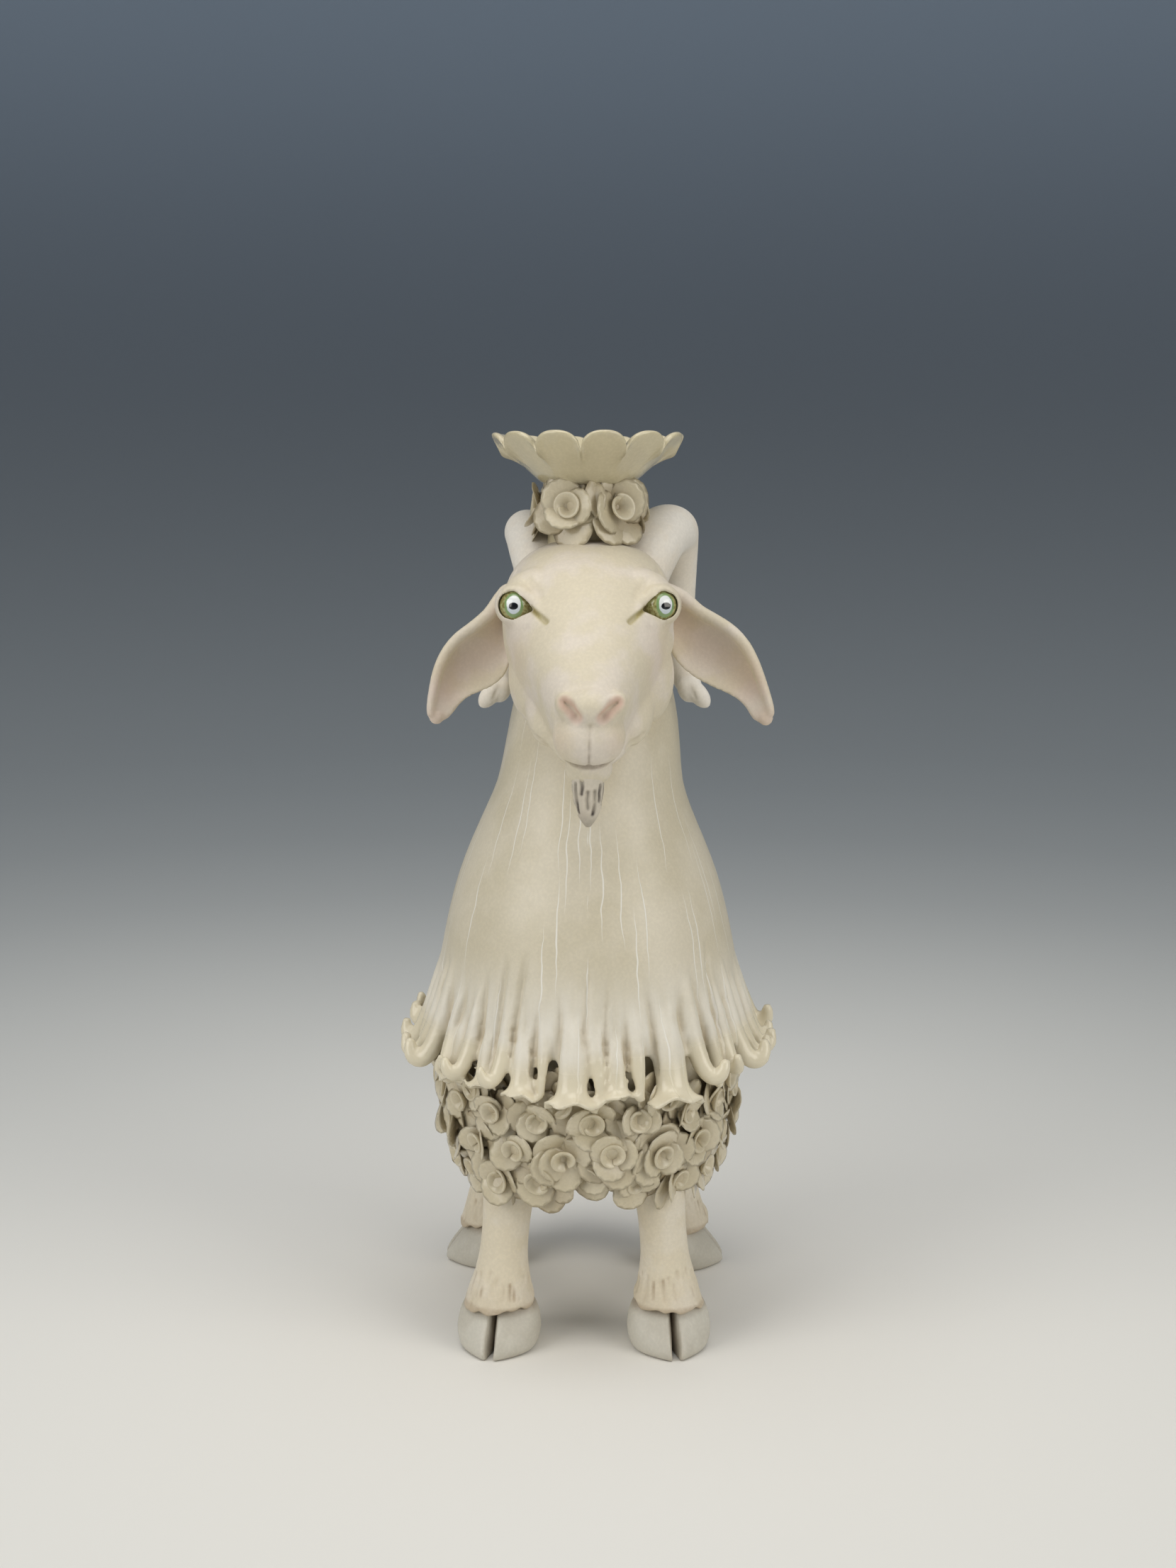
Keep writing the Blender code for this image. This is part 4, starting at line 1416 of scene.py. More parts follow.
    def core(self) -> bmesh.types.BMesh:
        """The mantle's mass, recessed underneath for the body's shoulders."""
        rows = flow(self.rows[:-1], 2)
        outer = [self.outline(row) for row in rows[:-2]]
        outer += [self.outline(row, taper) for row, taper in zip(rows[-2:], self.edge_taper)]
        roof = rows[-1].copy()
        roof[0] += self.recess_depth
        recess = zip((rows[-1], roof), self.recess_inset)
        inner = [self.outline(row, inset) for row, inset in recess]
        return loft(outer + inner, 96)

    def station(self, turn: float, above: float) -> tuple[Vector, Vector]:
        """A place on the mantle's skin.

        Args:
            turn: Which way it faces from the middle.
            above: How far above the hem it is.

        Returns:
            The place, and the level way outwards there.
        """
        rows = flow(self.rows, 4)
        hem = rows[-1]
        back = self.lift(turn, hem[4], hem[5])
        heights = rows[:, 0] + np.array([self.lift(turn, row[4], row[5]) for row in rows])
        wanted = hem[0] + back + above
        share = np.interp(wanted, heights[::-1], np.arange(len(rows))[::-1])
        row = [np.interp(share, np.arange(len(rows)), column) for column in rows.T]
        at = self.outline(row)(turn)
        at.z = wanted
        outwards = Vector((math.cos(turn), math.sin(turn), 0))
        return at, outwards

    def lock_path(self, lock: Lock) -> list[tuple[float, ...]]:
        """The lock's curve, from under the skin to its tip, with its radius."""
        shape = self.hook if lock.end is LockEnd.HOOK else self.drop
        turn = FRONT + math.radians(lock.heading)
        sideways = Vector((-math.sin(turn), math.cos(turn), 0))
        path = []
        for above, out, swing, radius in shape:
            skin, outwards = self.station(turn, max(above, 0) * lock.size)
            at = skin + outwards * out * lock.size + sideways * swing * lock.lean * lock.size
            at.z += min(above, 0) * lock.size
            path.append((*at, radius * lock.size))
        return path

    def bell(self, lock: Lock) -> bmesh.types.BMesh:
        """A lock that widens to a ruffled mouth, open underneath."""
        turn = FRONT + math.radians(lock.heading)
        sideways = Vector((-math.sin(turn), math.cos(turn), 0))
        outwards = self.station(turn, 0)[1]
        size = lock.size
        rings = []
        for above, out, width, depth, ruffle in flow(self.bell_rows, 2):
            skin = self.station(turn, max(above, 0) * size)[0]
            centre = skin + outwards * out * size
            centre.z += min(above, 0) * size
            down = max(0.0, -above) / 8
            lean = Vector((0, 0, -1)) * 0.35 * down
            across = (sideways + lean * lock.lean).normalized()
            up = (outwards + Vector((0, 0, 0.42)) * down).normalized()
            ring = Ring(centre, width * size, depth * size, depth * size, across, up)
            rings.append(self.ruffled(ring, ruffle * size, lock.heading))
        return loft(rings, 40)

    @staticmethod
    def ruffled(ring: Ring, ruffle: float, shift: float) -> Callable[[float], Vector]:
        """The ring's outline with its height waved five times round."""

        def point(turn: float) -> Vector:
            """The waved outline's point at that turn."""
            wave = math.sin(5 * turn + shift) + 0.4 * math.sin(3 * turn - shift)
            return ring.point(turn) + Vector((0, 0, ruffle * wave * 0.6))

        return point

    def build(self) -> None:
        """Fuses the mantle with its locks, then cuts the partings and stains it."""
        clay = Clay().add(self.core())
        locks = self.locks()
        paths = []
        for lock in locks:
            if lock.end is LockEnd.BELL:
                clay.add(self.bell(lock))
                continue
            path = self.lock_path(lock)
            paths.append(path)
            clay.add(tube(flow(path, 3), 14))
            clay.ball(path[-1][:3], (path[-1][3],) * 3)
        skin = clay.fuse(self.grain, 3)
        self.comb(skin, locks)
        self.stain(skin, paths)
        piece("clay_mantle", skin.finish(), MANTLE.material(), ["mantle"])

    def comb(self, skin: Surface, locks: Sequence[Lock]) -> None:
        """Partings between the locks, and finer strokes above them."""
        chance = random.Random(5)
        headings = sorted(lock.heading % 360 for lock in locks)
        following = headings[1:] + [headings[0] + 360]
        for heading, after in zip(headings, following):
            for share, high, depth in self.partings:
                turn = FRONT + math.radians(heading + (after - heading) * share)
                high *= chance.uniform(0.8, 1.35)
                bend = chance.uniform(-0.02, 0.02)
                path = [
                    self.station(turn + bend * k, above)[0]
                    for k, above in ((2, high), (0.5, high * 0.66), (-0.6, high * 0.33), (0, 2))
                ]
                weights = skin.along(path, 1.9)
                fade = smooth_step(skin.points[:, 2], path[0].z, path[0].z - 14)
                skin.press(weights * fade, depth)

    def stain(self, skin: Surface, paths: Sequence[Sequence[Row]]) -> None:
        """White on the locks, glaze on their tips and in the bells, and painted shade in the creases
        near the hem.
        """
        for path in paths:
            skin.stain("gloss", skin.along(path[3:], 8.5) * 1.3)
        turns = np.arctan2(skin.points[:, 1] - self.middle_y, skin.points[:, 0])
        back = np.clip(np.sin(turns), 0, 1)
        hem = self.rows[-1][0] + self.back_rise * back * back * (3 - 2 * back)
        above = skin.points[:, 2] - hem
        skin.stain("gloss", smooth_step(above, 10, -2))
        # The crease mask keeps white out of the creases, and it gives the painted shade in the
        # creases near the hem.
        hollow = skin.hollows(3, 1.5)
        white = smooth_step(above, 44, 16) * (1 - skin.stains["gloss"]) * (1 - hollow)
        skin.stain("white", white * 0.6)
        skin.stain("white", 0.45 * skin.near((0, -38, 190), 15))
        skin.stain("hollow", hollow * smooth_step(above, 34, 10))


# ---- roses and the body


@dataclass
class Body:
    """The pot-shaped body, and the places of the roses on it."""

    middle_y: float = 6.0 + ORIGIN_SHIFT_Y
    squareness: float = 2.25
    wall: float = 5.5
    rows: Sequence[Row] = (  # height, half width, front, back
        (57.0, 5, 5, 5),
        (57.8, 27, 41, 37),
        (61.5, 39.5, 55, 50),
        (68.5, 46.5, 63, 58.5),
        (79.0, 49.6, 66.3, 63.5),
        (96.0, 51.2, 67, 64),
        (111.0, 52.8, 66.5, 58),
        (119.5, 50.8, 63, 48),
        (126.0, 38, 46, 31),
    )

    def ring(self, row: Row) -> Ring:
        """The body's outline of a row."""
        ring = level_ring(*(float(value) for value in row), self.middle_y)
        ring.squareness = self.squareness
        return ring

    def surface(self) -> BVHTree:
        """The body's skin, to stand roses on."""
        bm = loft([self.ring(row).point for row in flow(self.rows, 2)], 72)
        tree = BVHTree.FromBMesh(bm)
        bm.free()
        return tree

    def turn_at(self, share: float) -> float:
        """The heading from the body's middle at some share of the way round it.

        Args:
            share: How far round its widest outline, from straight ahead, as 0 to 1.

        Returns:
            The heading, in radians.
        """
        outline = self.ring(self.rows[4])
        points = np.array([outline.point(t) for t in np.linspace(FRONT, FRONT + TURN, 721)])
        steps = np.linalg.norm(np.diff(points, axis=0), axis=1)
        lengths = np.concatenate([[0], np.cumsum(steps)])
        headings = np.unwrap(np.arctan2(points[:, 1] - self.middle_y, points[:, 0]))
        return float(np.interp(share % 1 * lengths[-1], lengths, headings))

    def build(self) -> None:
        """The hollow pot itself, glazed, with a vent in the belly."""
        rings = [self.ring(row).point for row in flow(self.rows, 2)]
        bm = loft(rings, 64)
        caps = [face for face in bm.faces if len(face.verts) > 4]
        bmesh.ops.delete(bm, geom=caps, context="FACES")
        bmesh.ops.solidify(bm, geom=bm.faces[:], thickness=self.wall)
        bmesh.ops.recalc_face_normals(bm, faces=bm.faces)
        mesh = mesh_in_metres(bm, "body")
        piece("glazed_body", mesh, ROSE.material(), ["body_shell"])


@dataclass
class RoseMaker:
    """Rolls roses from thin round petals, no two alike."""

    petal_points: int = 12
    thickness: float = 1.2
    chance: random.Random = field(default_factory=lambda: random.Random(23))

    def petal(self, radius: float, dish: float) -> bmesh.types.BMesh:
        """A thin round petal, dished upwards and a little ruffled.

        Args:
            radius: The petal's radius.
            dish: How far its rim rises above its middle.

        Returns:
            The petal, lying level on the origin, without its thickness.
        """
        bm = bmesh.new()
        bmesh.ops.create_circle(bm, segments=self.petal_points, radius=radius, cap_ends=True)
        for share in (0.34, 0.5):
            middle = max(bm.faces, key=lambda face: len(face.verts))
            width = radius * share * 0.62
            bmesh.ops.inset_region(bm, faces=[middle], thickness=width, depth=0)
        phase = self.chance.uniform(0, TURN)
        for vert in bm.verts:
            share = vert.co.length / radius
            turn = math.atan2(vert.co.y, vert.co.x)
            ruffle = 0.05 * math.sin(3 * turn + phase)
            vert.co.z = (dish + ruffle * radius) * share * share
            vert.co.xy *= 1 + 0.05 * math.sin(2 * turn + phase)
        return bm

    def bud(self, radius: float) -> bmesh.types.BMesh:
        """A petal rolled up into a funnel, which widens as it unrolls."""
        bm = bmesh.new()
        bmesh.ops.create_grid(bm, x_segments=14, y_segments=3, size=1)
        start = self.chance.uniform(0, TURN)
        turns = self.chance.uniform(0.95, 1.2)
        for vert in bm.verts:
            share = (vert.co.x + 1) / 2
            rise = (vert.co.y + 1) / 2
            slant = radius * (0.66 + 0.34 * math.cos(vert.co.x * math.pi / 2)) * rise
            turn = start + share * turns * TURN
            reach = 0.4 + slant * (0.46 + 0.30 * share) + 0.05 * radius * rise**3
            vert.co = (reach * math.cos(turn), reach * math.sin(turn), 1.2 + 0.78 * slant)
        return bm

    def rose(self, size: float) -> bmesh.types.BMesh:
        """A whole rose on the origin, opening along +Z.

        Args:
            size: Its radius, before the petals spread.

        Returns:
            Its petals and base in one bmesh.
        """
        whole = self.empty()
        spin = self.chance.uniform(0, TURN)
        rings = (  # petal's radius, offset, lift, lean, dish, count
            (0.70, 0.54, 1.2, 9, 0.08, self.chance.choice((4, 5, 5))),
            (0.62, 0.34, 3.0, 25, 0.14, self.chance.choice((2, 3))),
        )
        for radius, offset, lift, tilt, dish, count in rings:
            spin += 0.7
            for number in range(count):
                turn = spin + number * TURN / count + self.chance.uniform(-0.18, 0.18)
                lean = math.radians(tilt + self.chance.uniform(-8, 9))
                reach = size * radius * self.chance.uniform(0.9, 1.1)
                petal = self.petal(reach, size * dish)
                place = (
                    Matrix.Rotation(turn, 4, "Z")
                    @ Matrix.Translation((size * offset, 0, lift + number * 0.3))
                    @ Matrix.Rotation(-lean, 4, "Y")
                    @ Matrix.Rotation(self.chance.uniform(-0.14, 0.14), 4, "X")
                )
                self.join(whole, petal, place)
        self.join(whole, self.bud(size * 0.54), Matrix.Translation((0, 0, 1.8)))
        bmesh.ops.recalc_face_normals(whole, faces=whole.faces)
        bmesh.ops.solidify(whole, geom=whole.faces[:], thickness=self.thickness)
        base = Matrix.Diagonal((0.42 * size, 0.42 * size, 2.4, 1))
        bmesh.ops.create_icosphere(
            whole, subdivisions=1, radius=1, matrix=Matrix.Translation((0, 0, 1.4)) @ base
        )
        # Painted shade: points low in the rose, near its foot, get the hollow stain, which darkens
        # them.
        deep = whole.verts.layers.float["hollow"]
        for vert in whole.verts:
            height = (vert.co.z - 0.10 * size) / (0.42 * size)
            vert[deep] = min(1.0, max(0.0, 1 - height)) ** 1.5
        return whole

    @staticmethod
    def empty() -> bmesh.types.BMesh:
        """A bmesh to gather petals in, whose points keep how deep they lie, for the painted shade
        between the petals.
        """
        bm = bmesh.new()
        bm.verts.layers.float.new("hollow")
        return bm

    @staticmethod
    def join(whole: bmesh.types.BMesh, part: bmesh.types.BMesh, place: Matrix) -> None:
        """Adds a part to the whole at that place."""
        bmesh.ops.transform(part, matrix=place, verts=part.verts)
        mesh = mesh_of(part, "petal")
        whole.from_mesh(mesh)
        bpy.data.meshes.remove(mesh)

    def place(self, spray: bmesh.types.BMesh, size: float, foot: Vector, outward: Vector) -> None:
        """Adds a rose to a spray.

        Args:
            spray: The spray that it joins.
            size: Its radius.
            foot: Where it stands.
            outward: The way that it opens.
        """
        tilt = Euler([self.chance.uniform(-0.16, 0.16) for _ in range(3)]).to_matrix()
        turn = outward.to_track_quat("Z", "Y").to_matrix() @ tilt
        self.join(spray, self.rose(size), Matrix.Translation(foot) @ turn.to_4x4())


@dataclass
class Roses:
    """Every rose: the wreath on the head and the sprays that cover the body."""

    body: Body
    maker: RoseMaker = field(default_factory=RoseMaker)
    spray_count: int = 22
    rows: tuple[float, float, float] = (92.2, 79.0, 65.8)
    shoulder_z: float = 70.0  # roses below it stand out from the belly's edge
    spread: float = 0.96
    size: float = 11.2
    crown_y: float = -7.0 + ORIGIN_SHIFT_Y
    socket_radius: float = 14.6
    crown_turns: Sequence[float] = (-25, 37, 97, 153, -149, -86)
    crown_sizes: Sequence[float] = (12.6, 13.0, 11.2, 11.2, 11.2, 11.2)
    rump_columns: Sequence[float] = (8.6, 9.75, 12.25, 13.4)
    rump_z: float = 109.5
    crown_foot_z: float = 302.0
    fillers: Sequence[Row] = (  # columns on, height above the top row, how far back at least
        (1.5, 7.0, 0.0),
        (0.5, 11.0, 0.15),
    )
    filler_rise: float = 6.0  # how much higher a filler stands at the very back

    def spray_places(self, number: int) -> list[tuple[float, float]]:
        """Where the roses of a spray stand: by turns two above one, and two below one.

        Args:
            number: The spray's number round the body.

        Returns:
            The column and height of each. An even spray also fills the gap over its top row.
        """
        top, middle, low = self.rows
        if number % 2 == 0:
            places = [(number, top), (number + 1, top), (number + 0.5, middle)]
        else:
            places = [(number, low), (number + 1, low), (number + 0.5, middle)]
        grid = np.array(places)
        spread = grid.mean(axis=0) + (grid - grid.mean(axis=0)) * self.spread
        made = [(float(column), float(height)) for column, height in spread]
        if number % 2 == 0:
            for step, height, least in self.fillers:
                column = number + step
                back = max(0.0, math.sin(self.body.turn_at(column / self.spray_count)))
                if back >= least:
                    made.append((column, top + height + self.filler_rise * back))
        return made

    def stand(
        self, spray: bmesh.types.BMesh, skin: BVHTree, column: float, height: float, size: float
    ) -> None:
        """Stands a rose on the body's skin.

        Args:
            spray: The spray that it joins.
            skin: The body's skin.
            column: How many sprays' steps round the body it is.
            height: How high it is.
            size: Its radius.
        """
        turn = self.body.turn_at(column / self.spray_count)
        inwards = Vector((-math.cos(turn), -math.sin(turn), 0))
        start = Vector((0, self.body.middle_y, max(height, self.shoulder_z))) - inwards * 200
        at, normal, _, _ = skin.ray_cast(start, inwards)
        if height < self.shoulder_z:
            at.z = height + 6.5 * max(0.0, -math.sin(turn)) ** 24
            at += inwards * 1.5
            normal.z = -0.18
        self.maker.place(spray, size, at, normal.normalized())

    def finish(self, name: str, spray: bmesh.types.BMesh, node: str) -> None:
        """Finishes a spray as a piece that stands for its node."""
        mesh = mesh_in_metres(spray, name)
        obj = piece(name, mesh, self.glaze, [node])
        subdivided(obj, 1)

    def build(self) -> None:
        """Makes the sprays, the roses by the tail and the wreath."""
        self.glaze = ROSE.material()
        skin = self.body.surface()
        for number in range(self.spray_count):
            spray = self.maker.empty()
            for column, height in self.spray_places(number):
                size = self.size * self.maker.chance.uniform(0.88, 1.08)
                self.stand(spray, skin, column, height, size)
            self.finish(f"glazed_spray_{number + 1:02}", spray, f"rose_spray_{number + 1:02}")
        for number, column in enumerate(self.rump_columns, 1):
            spray = self.maker.empty()
            self.stand(spray, skin, column, self.rump_z, self.size * 0.95)
            self.finish(f"glazed_rump_rose_{number}", spray, f"rump_rose_{number}")
        for number, (degrees, size) in enumerate(zip(self.crown_turns, self.crown_sizes), 1):
            turn = FRONT + math.radians(degrees)
            outward = Vector((math.cos(turn), math.sin(turn), 0.12))
            foot = Vector((math.cos(turn), math.sin(turn), 0)) * (self.socket_radius - 1)
            foot += Vector((0, self.crown_y, self.crown_foot_z))
            spray = self.maker.empty()
            self.maker.place(spray, size, foot, outward.normalized())
            self.finish(f"glazed_crown_rose_{number}", spray, f"crown_rose_{number}")


# ---- candle and dish


@dataclass
class CandleDish:
    """The scalloped drip dish and the candle's socket."""

    centre_y: float = -7.0 + ORIGIN_SHIFT_Y
    petals: int = 12
    turn: float = math.radians(10)
    notch_depth: float = 3.2
    notch_drop: float = 6.6
    back_drop: float = 1.0
    socket_radius: float = 14.6
    bore_radius: float = 11.2
    seat_z: float = 297.0
    socket_top: float = 316.0
    rows: Sequence[Row] = (  # height, radius, share of the scallop
        (310.8, 15.0, 0.0),
        (310.9, 16.4, 0.0),
        (313.0, 19.0, 0.0),
        (317.0, 23.2, 0.06),
        (321.8, 28.2, 0.4),
        (326.2, 32.6, 0.85),
        (328.4, 34.5, 1.0),
        (329.4, 34.1, 1.0),
        (329.5, 33.0, 1.0),
        (328.8, 31.6, 1.0),
        (325.8, 28.6, 0.75),
        (321.0, 23.2, 0.25),
        (317.0, 18.6, 0.0),
        (315.0, 16.0, 0.0),
        (314.8, 15.0, 0.0),
    )

    def outline(self, z: float, radius: float, share: float) -> Callable[[float], Vector]:
        """One outline of the dish.

        Args:
            z: Its height.
            radius: Its radius between two notches.
            share: How far it is scalloped, from 0 to 1.

        Returns:
            A function from a turn to the outline's point.
        """

        def point(turn: float) -> Vector:
            """The scalloped outline's point at that turn."""
            across = 2 * ((self.petals * (turn - FRONT) / TURN) % 1) - 1
            notch = 1 - (1 - min(1, abs(across)) ** 2.4) ** 0.5
            at = turn + self.turn - math.pi / self.petals
            reach = radius - self.notch_depth * share * notch
            behind = self.back_drop * (1 - math.cos(at - FRONT))
            drop = share * (self.notch_drop * notch + behind)
            return Vector((reach * math.cos(at), self.centre_y + reach * math.sin(at), z - drop))

        return point

    def build(self) -> None:
        """Makes the dish and the socket."""
        rings = [self.outline(*map(float, row)) for row in flow(self.rows, 3)]
        bm = loft(rings, self.petals * 20, "ring")
        mesh = mesh_in_metres(bm, "dish")
        piece("glazed_dish", mesh, DISH.material(), ["drip_dish"])
        rows = (
            (self.seat_z - 12, self.socket_radius - 0.5),
            (self.seat_z - 12, self.socket_radius),
            (self.socket_top - 0.8, self.socket_radius),
            (self.socket_top, self.socket_radius - 0.8),
            (self.socket_top, self.bore_radius + 0.8),
            (self.socket_top - 0.8, self.bore_radius),
            (self.seat_z + 0.4, self.bore_radius),
            (self.seat_z, self.bore_radius - 0.4),
        )
        rings = [level_ring(z, r, r, r, self.centre_y).point for z, r in rows]
        mesh = mesh_in_metres(loft(rings, 64), "socket")
        obj = piece("glazed_socket", mesh, DISH.material(), ["candle_socket"])
        mesh.set_sharp_from_angle(angle=math.radians(50))
        LOG.info("%s holds a candle %.1f mm across", obj.name, 2 * self.bore_radius)


# ---- legs and tail


@dataclass
class Foot:
    """One leg with its cuff of fur and its two toes."""

    name: str
    x: float
    y: float
    heading: float
    hip_x: float
    hip_y: float
    splay: float = 0.0  # degrees that the toes are turned further
    cuff_z: float = 17.6
    hip_z: float = 72.0
    mark_count: int = 34
    grain: float = 0.6
    toe_grain: float = 0.7
    rows: Sequence[Row] = (  # height, half width, reach ahead, reach behind
        (17.0, 10.2, 9.2, 9.6),
        (16.4, 12.4, 11.4, 11.6),
        (17.6, 12.9, 11.9, 12.1),
        (19.8, 12.3, 11.3, 11.6),
        (23.0, 11.4, 10.6, 11.0),
        (28.0, 10.0, 9.7, 10.2),
        (35.0, 8.8, 8.9, 9.4),
        (46.0, 8.6, 8.8, 9.4),
        (57.0, 9.4, 9.6, 10.4),
        (66.0, 10.4, 10.6, 11.2),
    )
    toe_rows: Sequence[Row] = (  # height, half width, ahead, behind, set back, set aside
        (0.0, 6.0, 14.8, 11.2, 0.0, 6.2),
        (0.5, 6.7, 15.8, 12.2, 0.0, 6.5),
        (2.6, 7.4, 16.2, 12.8, 0.0, 7.0),
        (6.5, 7.9, 14.6, 12.8, 0.3, 7.3),
        (11.0, 7.6, 11.6, 12.2, 0.7, 7.2),
        (15.0, 6.8, 8.8, 10.8, 1.0, 6.7),
        (18.6, 5.4, 5.8, 8.4, 1.3, 5.9),
        (20.6, 3.2, 3.4, 5.0, 1.4, 5.4),
    )

    @property
    def ahead(self) -> Vector:
        """The level way that the toes point."""
        angle = math.radians(self.heading + self.splay)
        return Vector((math.sin(angle), -math.cos(angle), 0))

    @property
    def aside(self) -> Vector:
        """The level way to the toes' left."""
        return Vector((-self.ahead.y, self.ahead.x, 0))

    def axis(self, z: float) -> Vector:
        """The leg's middle at that height."""
        share = (z - self.cuff_z) / (self.hip_z - self.cuff_z)
        low = Vector((self.x, self.y, z)) - self.ahead * 1.5
        return low + (Vector((self.hip_x, self.hip_y, z)) - low) * share

    def build_leg(self, finish: bpy.types.Material) -> None:
        """The leg, with fur marks scored above the cuff, and painted shade in its creases."""
        rings = []
        for z, half_width, ahead, behind in flow(self.rows, 3):
            rings.append(
                Ring(self.axis(z), half_width, ahead, behind, self.aside, self.ahead).point
            )
        skin = Clay().add(loft(rings, 48)).fuse(self.grain, 3)
        marks = random.Random(self.name)
        ring = Ring(Vector(), 12.2, 11.2, 11.6, self.aside, self.ahead)
        for number in range(self.mark_count):
            turn = number * TURN / self.mark_count + marks.uniform(-0.06, 0.06)
            low = self.cuff_z + marks.uniform(1.6, 7)
            high = low + marks.uniform(3, 7)
            path = []
            for z, share in ((high, 0.84), ((low + high) / 2, 0.92), (low, 1.0)):
                narrowing = share if z > 21 else 1.0
                path.append(self.axis(z) + ring.point(turn) * narrowing)
            weights = skin.along(path, 1.5)
            skin.press(weights, marks.uniform(0.25, 0.6))
            skin.stain("wash", marks.choice((0.1, 0.25, 0.7)) * skin.along(path, 1.1))
        self.fray(skin)
        height = skin.points[:, 2]
        # Darker at the cuff's lower edge and under it, and a little darker towards the cuff from
        # above.
        skin.stain("wash", 0.55 * smooth_step(height, self.cuff_z + 1.2, self.cuff_z - 0.8))
        skin.stain("wash", 0.13 * smooth_step(height, self.cuff_z + 12, self.cuff_z + 2))
        # Painted shade in the leg's creases.
        skin.stain("hollow", skin.hollows(2, 1.8))
        nodes = [f"{self.name}_leg"]
        piece(f"clay_{self.name}_leg", skin.finish(), finish, nodes)

    def fray(self, skin: Surface) -> None:
        """Lets the cuff's edge run up and down, and lifts it off the hoof here and there."""
        waves = random.Random(self.name + " cuff")
        middle = self.axis(self.cuff_z)
        turns = np.arctan2(skin.points[:, 1] - middle.y, skin.points[:, 0] - middle.x)
        edge = np.zeros(len(turns), np.float32)
        for count, height in ((1, 1.5), (2, 0.7), (5, 0.5), (9, 0.35), (14, 0.22)):
            edge += height * np.sin(count * turns + waves.uniform(0, TURN))
        near = smooth_step(skin.points[:, 2], self.cuff_z + 7, self.cuff_z + 1)
        skin.points[:, 2] += near * edge

    def toe_outline(self, row: Row, side: int) -> Callable[[float], Vector]:
        """One level outline of a toe, which narrows and leans in towards its tip.

        Args:
            row: A row as in toe_rows.
            side: 1 for the toe on the left as the foot points, -1 for the other.

        Returns:
            A function from a turn to the outline's point.
        """
        z, half_width, ahead, behind, back, aside = (float(value) for value in row)
        centre = Vector((self.x, self.y, z)) - self.ahead * back + self.aside * side * aside
        ring = Ring(centre, half_width, ahead, behind, self.aside, self.ahead, 2.25)

        def point(turn: float) -> Vector:
            """The narrowed outline's point at that turn."""
            forwards = max(0.0, math.sin(turn))
            at = ring.point(turn)
            offset = (at - centre).dot(self.aside)
            at -= self.aside * offset * 0.72 * forwards**2
            return at - self.aside * side * 4.9 * forwards**2

        return point

    def toe_name(self, side: int) -> str:
        """The toe's node name."""
        if abs(self.aside.x) < 0.5:
            return "front_toe" if side * self.aside.y < 0 else "back_toe"
        return "inner_toe" if side * self.aside.x * self.x < 0 else "outer_toe"

    def build_toe(self, side: int, finish: bpy.types.Material) -> None:
        """One toe, stained along its inner edge where it meets the other toe, and darker where it
        meets the cuff and at its sole.
        """
        rings = [self.toe_outline(row, side) for row in flow(self.toe_rows, 3)]
        skin = Clay().add(loft(rings, 40)).fuse(self.toe_grain, 2)
        skin.points[:, 2] = np.maximum(skin.points[:, 2], 0)
        inner = (skin.points - np.array((self.x, self.y, 0))) @ np.array(self.aside) * side
        ahead = smooth_step(inner, 3.0, 0.4) * smooth_step(skin.points[:, 2], 20, 3)
        skin.stain("wash", 0.7 * smooth_step(inner, 1.6, 0.0))
        skin.stain("wash", 0.3 * ahead)
        skin.stain("wash", 0.6 * smooth_step(skin.points[:, 2], 13.0, 17.0))
        skin.stain("wash", 0.30 * smooth_step(skin.points[:, 2], 1.2, 0.0))
        name = self.toe_name(side)
        piece(f"clay_{self.name}_{name}", skin.finish(), finish,
              [f"{self.name}_{name}"])


@dataclass
class Tail:
    """A short tail that stands up from the rump."""

    stations: Sequence[Row] = (  # x, y, z, radius
        (0, 59.5, 104, 6.0),
        (0, 68.5, 109, 5.5),
        (0, 75.0, 116, 4.8),
        (0, 78.5, 124, 3.8),
        (0, 79.0, 130, 2.3),
    )

    def build(self) -> None:
        """Forms the tail and combs it."""
        clay = Clay().add(tube(flow(self.stations, 4), 24))
        clay.ball(self.stations[-1][:3], (2.3, 2.3, 2.6))
        skin = clay.fuse(0.6, 3)
        for number in range(7):
            turn = number * TURN / 7
            path = [
                Vector(row[:3]) + Vector((math.cos(turn), 0.6 * math.sin(turn), 0)) * row[3]
                for row in self.stations[1:]
            ]
            skin.press(skin.along(path, 1.3), 0.7)
        piece("clay_tail", skin.finish(), HORN.material(), ["tail"])


@dataclass
class Legs:
    """The four legs."""

    feet: Sequence[Foot] = (
        Foot("front_left", 29.6, -38.5, 0, 24.6, -34.5, 8),
        Foot("front_right", -32.6, -38.5, 0, -27.2, -34.5, -11),
        Foot("rear_left", 38.0, 43.0, 88, 30.0, 39.5),
        Foot("rear_right", -41.0, 46.0, -88, -33.0, 43.5),
    )

    def build(self) -> None:
        """Makes each leg and its toes."""
        leg, hoof = LEG.material(), HOOF.material()
        for foot in self.feet:
            foot.build_leg(leg)
            for side in (1, -1):
                foot.build_toe(side, hoof)


# ---- studio


